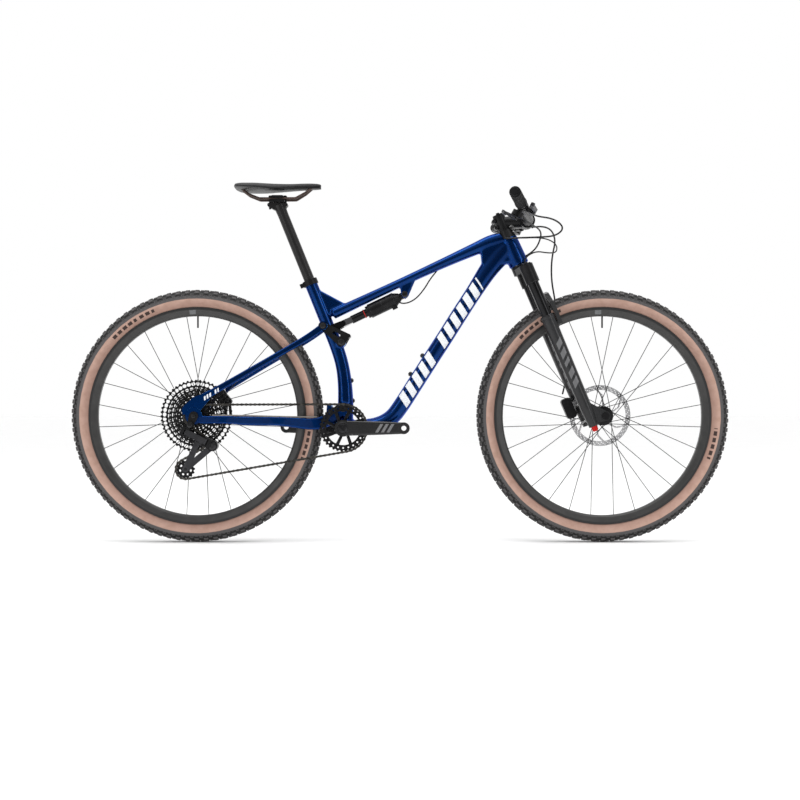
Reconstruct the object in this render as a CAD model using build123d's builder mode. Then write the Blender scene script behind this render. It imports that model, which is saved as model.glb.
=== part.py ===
from build123d import *
from math import atan2, cos, pi, radians, sin, tan
import os

# Cross-country full-suspension mountain bike, in millimetres.
# +X points forward, +Y to the rider's left, +Z up.
# The origin is on the ground, midway between the two tyre contact points.

# ---------------------------------------------------------------- overall sizes
wheelbase = 1183.0
tyre_radius = 368.0
tyre_width = 57.0
running_gap = 0.08
body_gap = 0.3

# frame pivots and suspension points, as (x, z) in the bike's middle plane
bottom_bracket = (-164.0, 333.0)
main_pivot = (-164.6, 390.3)
rocker_pivot = (-170.4, 582.2)
stay_pivot = (-223.7, 629.3)
yoke_pivot = (-204.7, 618.1)
shock_pivot = (13.8, 722.3)

# steering
head_angle = 67.0
fork_offset = 51.0
head_tube_low = 500.0
head_tube_high = 586.0
head_tube_low_radius = 29.5
head_tube_high_radius = 25.5
steerer_radius = 14.3
steerer_low_radius = 19.8
stem_height = 636.0
stem_length = 75.0
stem_drop_angle = 20.0

# handlebar
bar_width = 760.0
bar_clamp_radius = 17.5
bar_radius = 11.1
bar_wall = 2.0
bar_centre_half = 70.0
bar_backsweep = 12.0
bar_upsweep = 5.0
grip_radius = 16.0
grip_length = 130.0

# fork
stanchion_radius = 16.0
stanchion_spacing = 130.0
stanchion_forward = 9.0
stanchion_bottom = 170.0
leg_radius = 20.3
leg_top = 330.0
crown_bottom = 474.0
socket_bottom = 434.0
socket_radius = 20.5
crown_sweep = 88.5

# wheels
rim_outer_radius = 317.0
rim_inner_radius = 291.0
rim_width = 30.0
bead_shelf_radius = 309.0
spoke_radius = 1.0
spokes_per_wheel = 28
hub_flange_radius = 28.0
front_hub_width = 110.0
rear_hub_width = 148.0
front_rotor_radius = 90.0
rear_rotor_radius = 80.0
rotor_thickness = 1.8
rotor_plane = 42.4
axle_radius = 7.5
rear_axle_radius = 6.0

# drivetrain
chain_pitch = 12.7
chain_line = 56.5
chain_width = 5.0
chain_height = 7.6
chainring_teeth = 34
cog_teeth = (10, 12, 14, 16, 18, 21, 24, 28, 32, 38, 44, 52)
cog_spacing = 3.6
cog_thickness = 1.6
chain_cog = 3
guide_teeth = 12
tension_teeth = 14
guide_pulley_at = (-583.0, 294.0)
tension_pulley_at = (-619.0, 214.0)
crank_length = 175.0
pedal_thread_radius = 7.14
spindle_radius = 14.5
spindle_wall = 3.0
spindle_end = 76.0
crank_inner_face = 66.0
crank_outer_face = 84.0

# seat
seat_angle = 68.0
seat_tube_top = (-264.2, 763.0)
seatpost_radius = 15.45
seatpost_insert = 105.0
seatpost_head = (-357.5, 994.0)
saddle_width = 143.0
rail_spacing = 44.0
rail_radius = 3.5

# frame tubes
frame_wall = 2.5
shell_half_width = 42.0
shell_radius = 25.0
shell_bore = 20.5
pivot_boss_half = 30.0
seat_tube_slim_half = 18.2

# ---------------------------------------------------------------- derived places
axle_x = wheelbase / 2
front_axle = (axle_x, 0, tyre_radius)
rear_axle = (-axle_x, 0, tyre_radius)
head_sin = sin(radians(head_angle))
head_cos = cos(radians(head_angle))
fork_frame = Plane(
    origin=(axle_x - fork_offset * head_sin, 0, tyre_radius - fork_offset * head_cos),
    x_dir=(head_sin, 0, head_cos),
    z_dir=(-head_cos, 0, head_sin),
)


def fork_point(forward, left, up):
    """A point given in the fork's own frame, whose height runs up the steering axis."""
    return fork_frame.from_local_coords(Vector(forward, left, up))


stem_centre = fork_point(0, 0, stem_height)
stem_rise = radians(90 - head_angle - stem_drop_angle)
bar_centre = stem_centre + Vector(cos(stem_rise), 0, sin(stem_rise)) * stem_length
bar_outward = Vector(
    -sin(radians(bar_backsweep)) * cos(radians(bar_upsweep)),
    -cos(radians(bar_backsweep)) * cos(radians(bar_upsweep)),
    sin(radians(bar_upsweep)),
)
bar_bend = bar_centre + Vector(0, -bar_centre_half, 0)
bar_run = (bar_width / 2 - bar_centre_half) / abs(bar_outward.Y)

control_station = 150.0
control_tilt = 30.0
control_down = Vector(cos(radians(control_tilt)), 0, -sin(radians(control_tilt)))
control_forward = (control_down - bar_outward * control_down.dot(bar_outward)).normalized()
control_frame = Plane(
    origin=bar_bend + bar_outward * control_station,
    x_dir=control_forward,
    z_dir=bar_outward,
)

seat_direction = Vector(-cos(radians(seat_angle)), 0, sin(radians(seat_angle)))


def seat_point(along):
    """A point on the seatpost's axis, counted from the top of the seat tube."""
    return Vector(seat_tube_top[0], 0, seat_tube_top[1]) + seat_direction * along


shock_direction = Vector(
    shock_pivot[0] - yoke_pivot[0], 0, shock_pivot[1] - yoke_pivot[1]
).normalized()
shock_frame = Plane(
    origin=(yoke_pivot[0], 0, yoke_pivot[1]),
    x_dir=(0, 1, 0),
    z_dir=shock_direction,
)


def control_point(forward, up, out):
    """A point in the right-hand control's frame: ahead of, above and along the bar."""
    return control_frame.from_local_coords(Vector(forward, up, out))


def shock_point(along, across=0.0, up=0.0):
    """A point along the shock from the yoke pivot, across to the left and above."""
    return shock_frame.from_local_coords(Vector(across, up, along))


def pitch_radius(teeth):
    """Radius of the circle that the chain's pins follow on a sprocket."""
    return teeth * chain_pitch / (2 * pi)


def cog_plane(index):
    """The y of a cassette cog, counted from the smallest."""
    return -(chain_line + (chain_cog - index) * cog_spacing)


# ---------------------------------------------------------------- shape helpers
def side_plane(y):
    """Plane at y whose local axes are the bike's X and Z."""
    return Plane.XZ.offset(-y)


def bar(start, end, radius, mode=Mode.ADD):
    """Round bar between two points."""
    run = Vector(*end) - Vector(*start)
    with BuildSketch(Plane(origin=Vector(*start), z_dir=run)) as section:
        Circle(radius)
    extrude(section.sketch, amount=run.length, mode=mode)


def cone(start, end, start_radius, end_radius, mode=Mode.ADD):
    """Round bar that tapers between two points."""
    run = Vector(*end) - Vector(*start)
    with BuildSketch(Plane(origin=Vector(*start), z_dir=run)) as low:
        Circle(start_radius)
    with BuildSketch(Plane(origin=Vector(*end), z_dir=run)) as high:
        Circle(end_radius)
    loft([low.sketch, high.sketch], mode=mode)


def pin(x, z, radius, y_low, y_high, mode=Mode.ADD):
    """Round bar across the bike."""
    bar((x, y_low, z), (x, y_high, z), radius, mode)


def slab(circles, y_low, y_high, mode=Mode.ADD):
    """Flat plate across the bike, the hull of circles given as (x, z, radius)."""
    with BuildSketch(side_plane(y_high)) as outline:
        for x, z, radius in circles:
            with Locations((x, z)):
                Circle(radius)
        if len(circles) > 1:
            make_hull()
    extrude(outline.sketch, amount=y_high - y_low, mode=mode)


def panel(points, y_low, y_high, mode=Mode.ADD):
    """Flat plate across the bike with straight sides, through points (x, z)."""
    with BuildSketch(side_plane(y_high)) as outline:
        Polygon(*points, align=None)
    extrude(outline.sketch, amount=y_high - y_low, mode=mode)


def turned(centre, outline, mode=Mode.ADD):
    """Body turned about the Y axis through centre, from (radius, y) points."""
    section_plane = Plane(origin=centre, x_dir=(0, 0, 1), z_dir=(-1, 0, 0))
    with BuildSketch(section_plane) as section:
        Polygon(*outline, align=None)
    revolve(section.sketch, axis=Axis(centre, (0, 1, 0)), mode=mode)


def tube(stations, shrink=0.0, mode=Mode.ADD):
    """Loft through rounded sections, as (x, y, z, depth, width) along a tube."""
    sections = []
    last = len(stations) - 1
    for index, (x, y, z, depth, width) in enumerate(stations):
        before = stations[max(index - 1, 0)]
        after = stations[min(index + 1, last)]
        run = Vector(after[0] - before[0], after[1] - before[1], after[2] - before[2])
        across = Vector(0, 1, 0) - run * (run.Y / run.length**2)
        corner = 0.42 * min(depth, width) - shrink
        with BuildSketch(Plane(origin=(x, y, z), x_dir=across, z_dir=run)) as section:
            RectangleRounded(width - 2 * shrink, depth - 2 * shrink, corner)
        sections.append(section.sketch)
    loft(sections, mode=mode)


def cable(points, radius, name):
    """Cable of straight runs joined by tangent arcs, as large as the runs allow."""
    route = [Vector(*point) for point in points]
    radii = []
    for before, corner, after in zip(route, route[1:], route[2:]):
        turn = (corner - before).get_angle(after - corner)
        shorter = min((corner - before).length, (after - corner).length)
        radii.append(0.45 * shorter / tan(radians(turn / 2)))
    with BuildLine() as path:
        FilletPolyline(*route, radius=radii)
    wire = path.wires()[0]
    with BuildSketch(Plane(origin=wire @ 0, z_dir=wire % 0)) as section:
        Circle(radius)
    sweep(section.sketch, path=wire)
    print(name, "arc radii", [round(value) for value in radii], "length", round(wire.length))


def save(builder, label):
    """Label a finished piece and write it."""
    builder.part.label = label
    export_step(builder.part, f"parts/{label}.step")


os.makedirs("parts", exist_ok=True)

# ---------------------------------------------------------------- main frame
top_tube = [
    (-196, 0, 665, 30, 40),
    (-20, 0, 747, 25, 42),
    (110, 0, 807, 28, 44),
    (215, 0, 854, 34, 44),
    (322, 0, 889, 44, 40),
]
down_tube = [
    (318, 0, 862, 60, 44),
    (291, 0, 836, 62, 46),
    (256, 0, 791, 54, 50),
    (217, 0, 731, 48, 54),
    (173, 0, 663, 48, 56),
    (130, 0, 595, 48, 57),
    (86, 0, 527, 48, 58),
    (42, 0, 458, 48, 60),
    (2, 0, 396, 48, 62),
    (-26, 0, 362, 47, 63),
    (-64, 0, 342, 46, 64),
    (-110, 0, 335, 45, 65),
    (-150, 0, 333, 44, 66),
]
seat_tube_low = [
    (-206, 0, 622, 38, 2 * seat_tube_slim_half),
    (-184, 0, 566, 39, 37),
    (-169, 0, 515, 39, 40),
    (-161, 0, 458, 42, 46),
    (-159, 0, 390, 46, 54),
    (-161, 0, 340, 44, 60),
]

with BuildPart() as main_frame:
    cone(
        fork_point(0, 0, head_tube_low),
        fork_point(0, 0, head_tube_high),
        head_tube_low_radius,
        head_tube_high_radius,
    )
    tube(top_tube)
    tube(down_tube)
    tube(seat_tube_low)
    cone(seat_point(0), seat_point(-158), 18.6, 18.2)
    panel([(-238, 738), (-150, 690), (-190, 655), (-215, 672)], -11, 11)
    # hollow tubes
    tube(top_tube[1:4], frame_wall, Mode.SUBTRACT)
    tube(down_tube[3:12], frame_wall, Mode.SUBTRACT)
    tube(seat_tube_low[1:5], frame_wall, Mode.SUBTRACT)
    # bottom bracket shell and pivot bosses
    pin(*bottom_bracket, shell_radius, -shell_half_width, shell_half_width)
    pin(*main_pivot, 16, -pivot_boss_half, pivot_boss_half)
    pin(*rocker_pivot, 13, -26, 26)
    pin(*bottom_bracket, shell_bore, -60, 60, Mode.SUBTRACT)
    pin(*main_pivot, 7.5 + running_gap, -60, 60, Mode.SUBTRACT)
    pin(*rocker_pivot, 6 + running_gap, -60, 60, Mode.SUBTRACT)
    # shock lugs under the top tube
    for side in (-1, 1):
        low, high = sorted((side * 11.2, side * 18))
        slab([(*shock_pivot, 12), (5, 752, 10), (40, 765, 10)], low, high)
    pin(*shock_pivot, 5 + running_gap, -30, 30, Mode.SUBTRACT)
    # head tube ends, clear of the crown's swing and of the headset cover
    bar(fork_point(0, 0, head_tube_high), fork_point(0, 0, head_tube_high + 60), 45,
        Mode.SUBTRACT)
    bar(fork_point(0, 0, socket_bottom - 40), fork_point(0, 0, head_tube_low), 42, Mode.SUBTRACT)
    bar(fork_point(0, 0, socket_bottom - 40), fork_point(0, 0, crown_bottom + 19), crown_sweep,
        Mode.SUBTRACT)
    # head tube bore and bearing seats
    cone(fork_point(0, 0, head_tube_low - 1), fork_point(0, 0, head_tube_high + 1), 23, 18,
         Mode.SUBTRACT)
    bar(fork_point(0, 0, head_tube_low - 1), fork_point(0, 0, head_tube_low + 8), 26,
        Mode.SUBTRACT)
    bar(fork_point(0, 0, head_tube_high - 8), fork_point(0, 0, head_tube_high + 1), 21,
        Mode.SUBTRACT)
    # seatpost bore and clamp slot
    bar(seat_point(5), seat_point(-158), seatpost_radius + running_gap, Mode.SUBTRACT)
    panel([(-300, 770), (-268, 770), (-252, 735), (-290, 735)], -1, 1, Mode.SUBTRACT)
save(main_frame, "main_frame")

with BuildPart() as headset_bearings:
    for base, outer, inner in (
        (head_tube_low, 25.95, steerer_low_radius + running_gap),
        (head_tube_high - 7.4, 20.95, steerer_radius + running_gap),
    ):
        with BuildSketch(Plane(origin=fork_point(0, 0, base + 0.4), z_dir=fork_frame.z_dir)) as ring:
            Circle(outer)
            Circle(inner, mode=Mode.SUBTRACT)
        extrude(ring.sketch, amount=7)
save(headset_bearings, "headset_bearings")

with BuildPart() as seat_collar:
    bar(seat_point(-14), seat_point(2), 22)
    bar(seat_point(-14), seat_point(2), 18.7, Mode.SUBTRACT)
    with BuildSketch(Plane(origin=seat_point(-12) + Vector(-24, 0, -9.7), z_dir=seat_direction)) as ears:
        Rectangle(12, 16)
    extrude(ears.sketch, amount=12)
    panel([(-302, 775), (-277, 775), (-277, 735), (-302, 735)], -1, 1, Mode.SUBTRACT)
    bar(seat_point(-14), seat_point(2), 18.7, Mode.SUBTRACT)
save(seat_collar, "seat_collar")

with BuildPart() as bottom_bracket_cups:
    for side in (-1, 1):
        turned(
            (bottom_bracket[0], 0, bottom_bracket[1]),
            [
                (spindle_radius + running_gap, side * (shell_half_width - 12)),
                (shell_bore - 0.05, side * (shell_half_width - 12)),
                (shell_bore - 0.05, side * shell_half_width),
                (shell_bore + 3, side * shell_half_width),
                (shell_bore + 1, side * (shell_half_width + 6)),
                (spindle_radius + running_gap, side * (shell_half_width + 6)),
            ],
        )
save(bottom_bracket_cups, "bottom_bracket_cups")

down_tube_bolts = ((64, 545), (29, 491))
seat_tube_bolts = ((-140.0, 471.0), (-134.0, 412.0))
with BuildPart() as frame_bolts:
    pin(*main_pivot, 7.5, -43.8, 43.8)
    for side in (-1, 1):
        low, high = sorted((side * 43.8, side * 47))
        pin(*main_pivot, 11, low, high)
    pin(*rocker_pivot, 6, -33.8, 33.8)
    for side in (-1, 1):
        low, high = sorted((side * 33.8, side * 37))
        pin(*rocker_pivot, 10, low, high)
    pin(*shock_pivot, 5, -18, 18)
    for side in (-1, 1):
        low, high = sorted((side * 18, side * 22))
        pin(*shock_pivot, 9, low, high)
    for x, z in down_tube_bolts:
        bar((x - 25.2 + 30, 0, z + 16.2 - 19), (x - 25.2, 0, z + 16.2), 2.6)
        bar((x - 25.2, 0, z + 16.2), (x - 28.5, 0, z + 18.3), 5)
    for x, z in seat_tube_bolts:
        bar((x - 12, 0, z), (x + 1, 0, z), 2.6)
        bar((x + 1, 0, z), (x + 4.5, 0, z), 5)
save(frame_bolts, "frame_bolts")

# ---------------------------------------------------------------- fork and steering
with BuildPart() as fork_crown:
    cone(fork_point(0, 0, head_tube_low - 3), fork_point(0, 0, head_tube_low + 60),
         steerer_low_radius, steerer_radius)
    bar(fork_point(0, 0, head_tube_low + 60), fork_point(0, 0, stem_height + 20), steerer_radius)
    bar(fork_point(0, 0, crown_bottom), fork_point(0, 0, head_tube_low - body_gap), 26)
    with BuildSketch(Plane(origin=fork_point(0, 0, crown_bottom), x_dir=fork_frame.x_dir,
                           z_dir=fork_frame.z_dir)) as bridge:
        Circle(24)
        with Locations((stanchion_forward, stanchion_spacing / 2),
                       (stanchion_forward, -stanchion_spacing / 2)):
            Circle(17)
        make_hull()
    extrude(bridge.sketch, amount=18)
    for side in (-1, 1):
        y = side * stanchion_spacing / 2
        bar(fork_point(stanchion_forward, y, socket_bottom),
            fork_point(stanchion_forward, y, crown_bottom + 16), socket_radius)
        bar(fork_point(stanchion_forward, y, socket_bottom),
            fork_point(stanchion_forward, y, crown_bottom + 10), stanchion_radius, Mode.SUBTRACT)
save(fork_crown, "fork_crown")

with BuildPart() as stanchions:
    for side in (-1, 1):
        y = side * stanchion_spacing / 2
        bar(fork_point(stanchion_forward, y, stanchion_bottom),
            fork_point(stanchion_forward, y, crown_bottom + 10), stanchion_radius)
        bar(fork_point(stanchion_forward, y, stanchion_bottom - 1),
            fork_point(stanchion_forward, y, crown_bottom - 10), stanchion_radius - 2,
            Mode.SUBTRACT)
save(stanchions, "stanchions")

axle_forward = fork_offset
with BuildPart() as fork_lowers:
    for side in (-1, 1):
        y = side * stanchion_spacing / 2
        cone(fork_point(stanchion_forward, y, 40), fork_point(stanchion_forward, y, leg_top - 12),
             17.5, leg_radius)
        bar(fork_point(stanchion_forward, y, leg_top - 12),
            fork_point(stanchion_forward, y, leg_top), leg_radius + 1)
        cone(fork_point(stanchion_forward, y, -14), fork_point(stanchion_forward, y, 40), 14, 17.5)
        axle_eye = fork_point(axle_forward, 0, 0)
        leg_low = fork_point(stanchion_forward, 0, 4)
        leg_mid = fork_point(stanchion_forward + 4, 0, 52)
        low, high = sorted((side * 55.3, side * 72))
        slab([(axle_eye.X, axle_eye.Z, 14), (leg_low.X, leg_low.Z, 10), (leg_mid.X, leg_mid.Z, 9)],
             low, high)
        # front corners that carry the arch
        bar(fork_point(stanchion_forward, y, leg_top - 46),
            fork_point(37, side * 62, leg_top - 24), 9)
    # arch, standing ahead of the crown's path
    arch_plane = Plane(origin=fork_point(31, 0, 0), x_dir=(0, 1, 0), z_dir=fork_frame.x_dir)
    with BuildSketch(arch_plane) as arch:
        Polygon(
            (-72, 296), (-74, 330), (-62, 366), (-34, 392), (0, 398),
            (34, 392), (62, 366), (74, 330), (72, 296),
            (54, 296), (52, 330), (44, 356), (24, 378), (0, 382),
            (-24, 378), (-44, 356), (-52, 330), (-54, 296),
            align=None,
        )
    extrude(arch.sketch, amount=12)
    # caliper posts behind the left leg
    for height in (36, 76):
        bar(fork_point(stanchion_forward - 6, 60, height), fork_point(-14, 50, height), 5.5)
    # stanchion bores
    for side in (-1, 1):
        y = side * stanchion_spacing / 2
        bar(fork_point(stanchion_forward, y, 56), fork_point(stanchion_forward, y, leg_top + 1),
            stanchion_radius + running_gap, Mode.SUBTRACT)
    bar((axle_x, -90, tyre_radius), (axle_x, 90, tyre_radius), axle_radius, Mode.SUBTRACT)
save(fork_lowers, "fork_lowers")

with BuildPart() as rebound_knob:
    bar(fork_point(stanchion_forward, -65, -26), fork_point(stanchion_forward, -65, -14.3), 9)
    bar(fork_point(stanchion_forward, -65, -29), fork_point(stanchion_forward, -65, -26), 7)
save(rebound_knob, "rebound_knob")

with BuildPart() as front_thru_axle:
    bar((axle_x, -72, tyre_radius), (axle_x, 72, tyre_radius), axle_radius)
    bar((axle_x, -76, tyre_radius), (axle_x, -72, tyre_radius), 11)
save(front_thru_axle, "front_thru_axle")


def caliper(centre, up, back, half_thickness):
    """Disc caliper round a rotor's edge: body, piston caps and the rotor's slot."""
    across = Vector(0, 1, 0)
    middle = Vector(*centre)
    low_face = middle - across * half_thickness
    with BuildSketch(Plane(origin=low_face, x_dir=up, z_dir=across)) as body:
        RectangleRounded(62, 30, 9)
    extrude(body.sketch, amount=2 * half_thickness)
    slot_face = middle - across * 2.4 - back * 18.5
    with BuildSketch(Plane(origin=slot_face, x_dir=up, z_dir=across)) as slot:
        Rectangle(90, 60)
    extrude(slot.sketch, amount=4.8, mode=Mode.SUBTRACT)
    for shift in (-14, 14):
        start = middle + across * (half_thickness - 1) + up * shift
        bar(start, start + across * 4, 9)


with BuildPart() as front_caliper:
    caliper(fork_point(-26, rotor_plane, 56), fork_frame.z_dir, fork_frame.x_dir * -1, 14)
save(front_caliper, "front_caliper")

with BuildPart() as headset_spacers:
    cone(fork_point(0, 0, head_tube_high + body_gap), fork_point(0, 0, head_tube_high + 24), 25, 19)
    bar(fork_point(0, 0, head_tube_high + 24), fork_point(0, 0, stem_height - 20), 17)
    bar(fork_point(0, 0, head_tube_high), fork_point(0, 0, stem_height - 20),
        steerer_radius + running_gap, Mode.SUBTRACT)
    bar(fork_point(0, 0, stem_height + 20), fork_point(0, 0, stem_height + 25), 17)
    bar(fork_point(0, 0, stem_height + 25), fork_point(0, 0, stem_height + 28), 5)
save(headset_spacers, "headset_spacers")

stem_direction = Vector(cos(stem_rise), 0, sin(stem_rise))
with BuildPart() as stem:
    bar(fork_point(0, 0, stem_height - 20), fork_point(0, 0, stem_height + 20), 18)
    cone(stem_centre, bar_centre - stem_direction * 8, 16, 19)
    for low, high in ((-40, -20), (20, 40)):
        bar(fork_point(0, 0, stem_height + low), fork_point(0, 0, stem_height + high), 30,
            Mode.SUBTRACT)
    pin(bar_centre.X, bar_centre.Z, bar_clamp_radius + 5, -24, 24)
    pin(bar_centre.X, bar_centre.Z, bar_clamp_radius + running_gap, -30, 30, Mode.SUBTRACT)
    with BuildSketch(Plane(origin=bar_centre + stem_direction * 1, z_dir=stem_direction)) as front:
        Rectangle(90, 90)
    extrude(front.sketch, amount=60, mode=Mode.SUBTRACT)
    bar(fork_point(0, 0, stem_height - 25), fork_point(0, 0, stem_height + 25),
        steerer_radius + running_gap, Mode.SUBTRACT)
    for height in (-10, 10):
        back = fork_point(-20, 0, stem_height + height)
        bar(back + Vector(0, -14, 0), back + Vector(0, 14, 0), 6)
    bar(fork_point(0, 0, stem_height - 25), fork_point(0, 0, stem_height + 25),
        steerer_radius + running_gap, Mode.SUBTRACT)
    back = fork_point(-22, 0, stem_height)
    with BuildSketch(Plane(origin=back + Vector(0, -1, 0), x_dir=fork_frame.z_dir,
                           z_dir=(0, 1, 0))) as slit:
        Rectangle(60, 22)
    extrude(slit.sketch, amount=2, mode=Mode.SUBTRACT)
save(stem, "stem")

with BuildPart() as stem_faceplate:
    pin(bar_centre.X, bar_centre.Z, bar_clamp_radius + 5, -24, 24)
    pin(bar_centre.X, bar_centre.Z, bar_clamp_radius + running_gap, -30, 30, Mode.SUBTRACT)
    with BuildSketch(Plane(origin=bar_centre + stem_direction * 3, z_dir=stem_direction * -1)) as rear:
        Rectangle(90, 90)
    extrude(rear.sketch, amount=60, mode=Mode.SUBTRACT)
    pin(bar_centre.X + 19, bar_centre.Z, 6, -10, 10, Mode.SUBTRACT)
save(stem_faceplate, "stem_faceplate")

bar_end = bar_bend + bar_outward * bar_run
with BuildPart() as handlebar:
    centre_low = bar_centre + Vector(0, -32, 0)
    bar(bar_centre, centre_low, bar_clamp_radius)
    cone(centre_low, bar_centre + Vector(0, -58, 0), bar_clamp_radius, bar_radius)
    with BuildLine() as sweep_line:
        FilletPolyline(bar_centre + Vector(0, -56, 0), bar_bend, bar_end, radius=55)
    with BuildSketch(Plane(origin=sweep_line.line @ 0, z_dir=sweep_line.line % 0)) as tube_section:
        Circle(bar_radius)
    sweep(tube_section.sketch, path=sweep_line.wires()[0])
    bar(bar_end, bar_end - bar_outward * (bar_run - 60), bar_radius - bar_wall, Mode.SUBTRACT)
    mirror(about=Plane.XZ)
save(handlebar, "handlebar")

with BuildPart() as grips:
    grip_start = bar_end - bar_outward * (grip_length - 2)
    bar(grip_start, bar_end + bar_outward * 2, grip_radius)
    bar(grip_start, grip_start + bar_outward * 9, grip_radius + 1.5)
    bar(grip_start, bar_end + bar_outward * 0.1, bar_radius + running_gap, Mode.SUBTRACT)
    mirror(about=Plane.XZ)
save(grips, "grips")

blade_pivot = (34.0, 2.0, 4.0)
with BuildPart() as lever_bodies:
    bar(control_point(0, 0, -9), control_point(0, 0, 5), 16)
    bar(control_point(22, 4, -52), control_point(24, 4, -2), 9.5)
    bar(control_point(14, 0, -4), control_point(26, 2, -4), 8)
    bar(control_point(22, 4, -62), control_point(22, 4, -52), 5)
    bar(control_point(24, 10, -48), control_point(24, 10, -18), 8)
    bar(control_point(0, 0, -10), control_point(0, 0, 6), bar_radius + running_gap, Mode.SUBTRACT)
    for height in (-7.5, 7.5):
        bar(control_point(blade_pivot[0], blade_pivot[1] + height - 1.5, blade_pivot[2]),
            control_point(blade_pivot[0], blade_pivot[1] + height + 1.5, blade_pivot[2]), 7)
        bar(control_point(24, blade_pivot[1] + height, -4),
            control_point(33, blade_pivot[1] + height, 3), 1.5)
    bar(control_point(blade_pivot[0], blade_pivot[1] - 9, blade_pivot[2]),
        control_point(blade_pivot[0], blade_pivot[1] + 9, blade_pivot[2]), 2.5)
    mirror(about=Plane.XZ)
save(lever_bodies, "lever_bodies")

blade_plane = Plane(
    origin=control_point(blade_pivot[0], blade_pivot[1] - 5, blade_pivot[2]),
    x_dir=control_frame.z_dir,
    z_dir=control_frame.y_dir,
)
with BuildPart() as right_brake_blade:
    with BuildSketch(blade_plane) as blade:
        Circle(5.6)
        with Locations((26, 9)):
            Circle(5)
        make_hull()
    extrude(blade.sketch, amount=10)
    with BuildSketch(blade_plane) as finger:
        with Locations((26, 9)):
            Circle(5)
        with Locations((92, 7)):
            Circle(4.2)
        make_hull()
    extrude(finger.sketch, amount=10)
    with BuildSketch(blade_plane) as hook:
        with Locations((92, 7)):
            Circle(4.2)
        with Locations((101, 12)):
            Circle(4.2)
        make_hull()
    extrude(hook.sketch, amount=10)
    bar(control_point(blade_pivot[0], blade_pivot[1] - 9, blade_pivot[2]),
        control_point(blade_pivot[0], blade_pivot[1] + 9, blade_pivot[2]),
        2.5 + running_gap, Mode.SUBTRACT)
save(right_brake_blade, "right_brake_blade")

with BuildPart() as left_brake_blade:
    add(mirror(right_brake_blade.part, about=Plane.XZ, mode=Mode.PRIVATE))
save(left_brake_blade, "left_brake_blade")

with BuildPart() as control_pods:
    bar(control_point(0, 0, 8), control_point(0, 0, 20), 15)
    bar(control_point(2, -12, 14), control_point(2, -22, 14), 8)
    bar(control_point(2, -20, 14), control_point(2, -34, 14), 17)
    bar(control_point(0, 0, 7), control_point(0, 0, 21), bar_radius + running_gap, Mode.SUBTRACT)
    bar(control_point(2, -34, 14), control_point(2, -46, 14), 3)
    bar(control_point(16, -27, 8), control_point(22, -27, -14), 4)
    mirror(about=Plane.XZ)
save(control_pods, "control_pods")


def paddle(height, reach, swing, thickness):
    """Thumb paddle turning on the pod's post, with a pad at its end."""
    centre = control_point(2, height, 14)
    plane = Plane(origin=centre, x_dir=control_frame.x_dir, z_dir=control_frame.y_dir * -1)
    tip_x = -reach * cos(radians(swing))
    tip_y = -reach * sin(radians(swing))
    with BuildSketch(plane) as arm:
        Circle(6)
        with Locations((tip_x, tip_y)):
            Circle(4)
        make_hull()
    extrude(arm.sketch, amount=thickness)
    with BuildSketch(plane) as pad:
        with Locations((tip_x, tip_y)):
            SlotOverall(20, 11, rotation=swing + 90)
    extrude(pad.sketch, amount=thickness + 3)
    bar(control_point(2, height + 1, 14), control_point(2, height - thickness - 4, 14),
        3 + running_gap, Mode.SUBTRACT)


with BuildPart() as shift_paddle_large:
    paddle(-34.3, 44, 25, 4)
save(shift_paddle_large, "shift_paddle_large")

with BuildPart() as shift_paddle_small:
    paddle(-41.8, 34, -30, 3.5)
save(shift_paddle_small, "shift_paddle_small")

with BuildPart() as right_lockout_shape:
    paddle(-34.3, 40, 20, 4)
with BuildPart() as lockout_lever:
    add(mirror(right_lockout_shape.part, about=Plane.XZ, mode=Mode.PRIVATE))
save(lockout_lever, "lockout_lever")

# ---------------------------------------------------------------- wheels
def build_tyre(centre):
    """Tyre carcass with its tread height, turned about the axle."""
    half = tyre_width / 2
    plane = Plane(origin=centre, x_dir=(0, 0, 1), z_dir=(-1, 0, 0))
    top = tyre_radius
    bead = bead_shelf_radius + 0.1
    wall = 4.0
    with BuildSketch(plane) as section:
        with BuildLine():
            Line((bead, 12.4), (rim_outer_radius + 1, 12.4))
            ThreePointArc((rim_outer_radius + 1, 12.4), (top - 32, half), (top - 10, half - 3))
            ThreePointArc((top - 10, half - 3), (top, 0), (top - 10, 3 - half))
            ThreePointArc((top - 10, 3 - half), (top - 32, -half), (rim_outer_radius + 1, -12.4))
            Line((rim_outer_radius + 1, -12.4), (bead, -12.4))
            Line((bead, -12.4), (bead, -9))
            Line((bead, -9), (rim_outer_radius + 1, -9))
            ThreePointArc((rim_outer_radius + 1, -9), (top - 32, wall - half),
                          (top - 13, 8 - half))
            ThreePointArc((top - 13, 8 - half), (top - 7, 0), (top - 13, half - 8))
            ThreePointArc((top - 13, half - 8), (top - 32, half - wall),
                          (rim_outer_radius + 1, 9))
            Line((rim_outer_radius + 1, 9), (bead, 9))
            Line((bead, 9), (bead, 12.4))
        make_face()
    revolve(section.sketch, axis=Axis(centre, (0, 1, 0)))


def build_rim(centre):
    """Deep rim with bead hooks and a centre well, and its valve at the top."""
    half = rim_width / 2
    turned(
        centre,
        [
            (rim_inner_radius, -7), (rim_inner_radius, 7), (rim_inner_radius + 5, 11),
            (rim_outer_radius - 8, half), (rim_outer_radius, half), (rim_outer_radius, 12.7),
            (bead_shelf_radius, 12.7), (bead_shelf_radius, 8), (bead_shelf_radius - 4, 6),
            (bead_shelf_radius - 4, -6), (bead_shelf_radius, -8), (bead_shelf_radius, -12.7),
            (rim_outer_radius, -12.7), (rim_outer_radius, -half), (rim_outer_radius - 8, -half),
            (rim_inner_radius + 5, -11),
        ],
    )
    x, y, z = centre
    bar((x, y, z + rim_inner_radius - 34), (x, y, z + rim_inner_radius + 4), 2.6)


spoke_sweep = 62.0
spoke_hub_offset = 1.3


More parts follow.
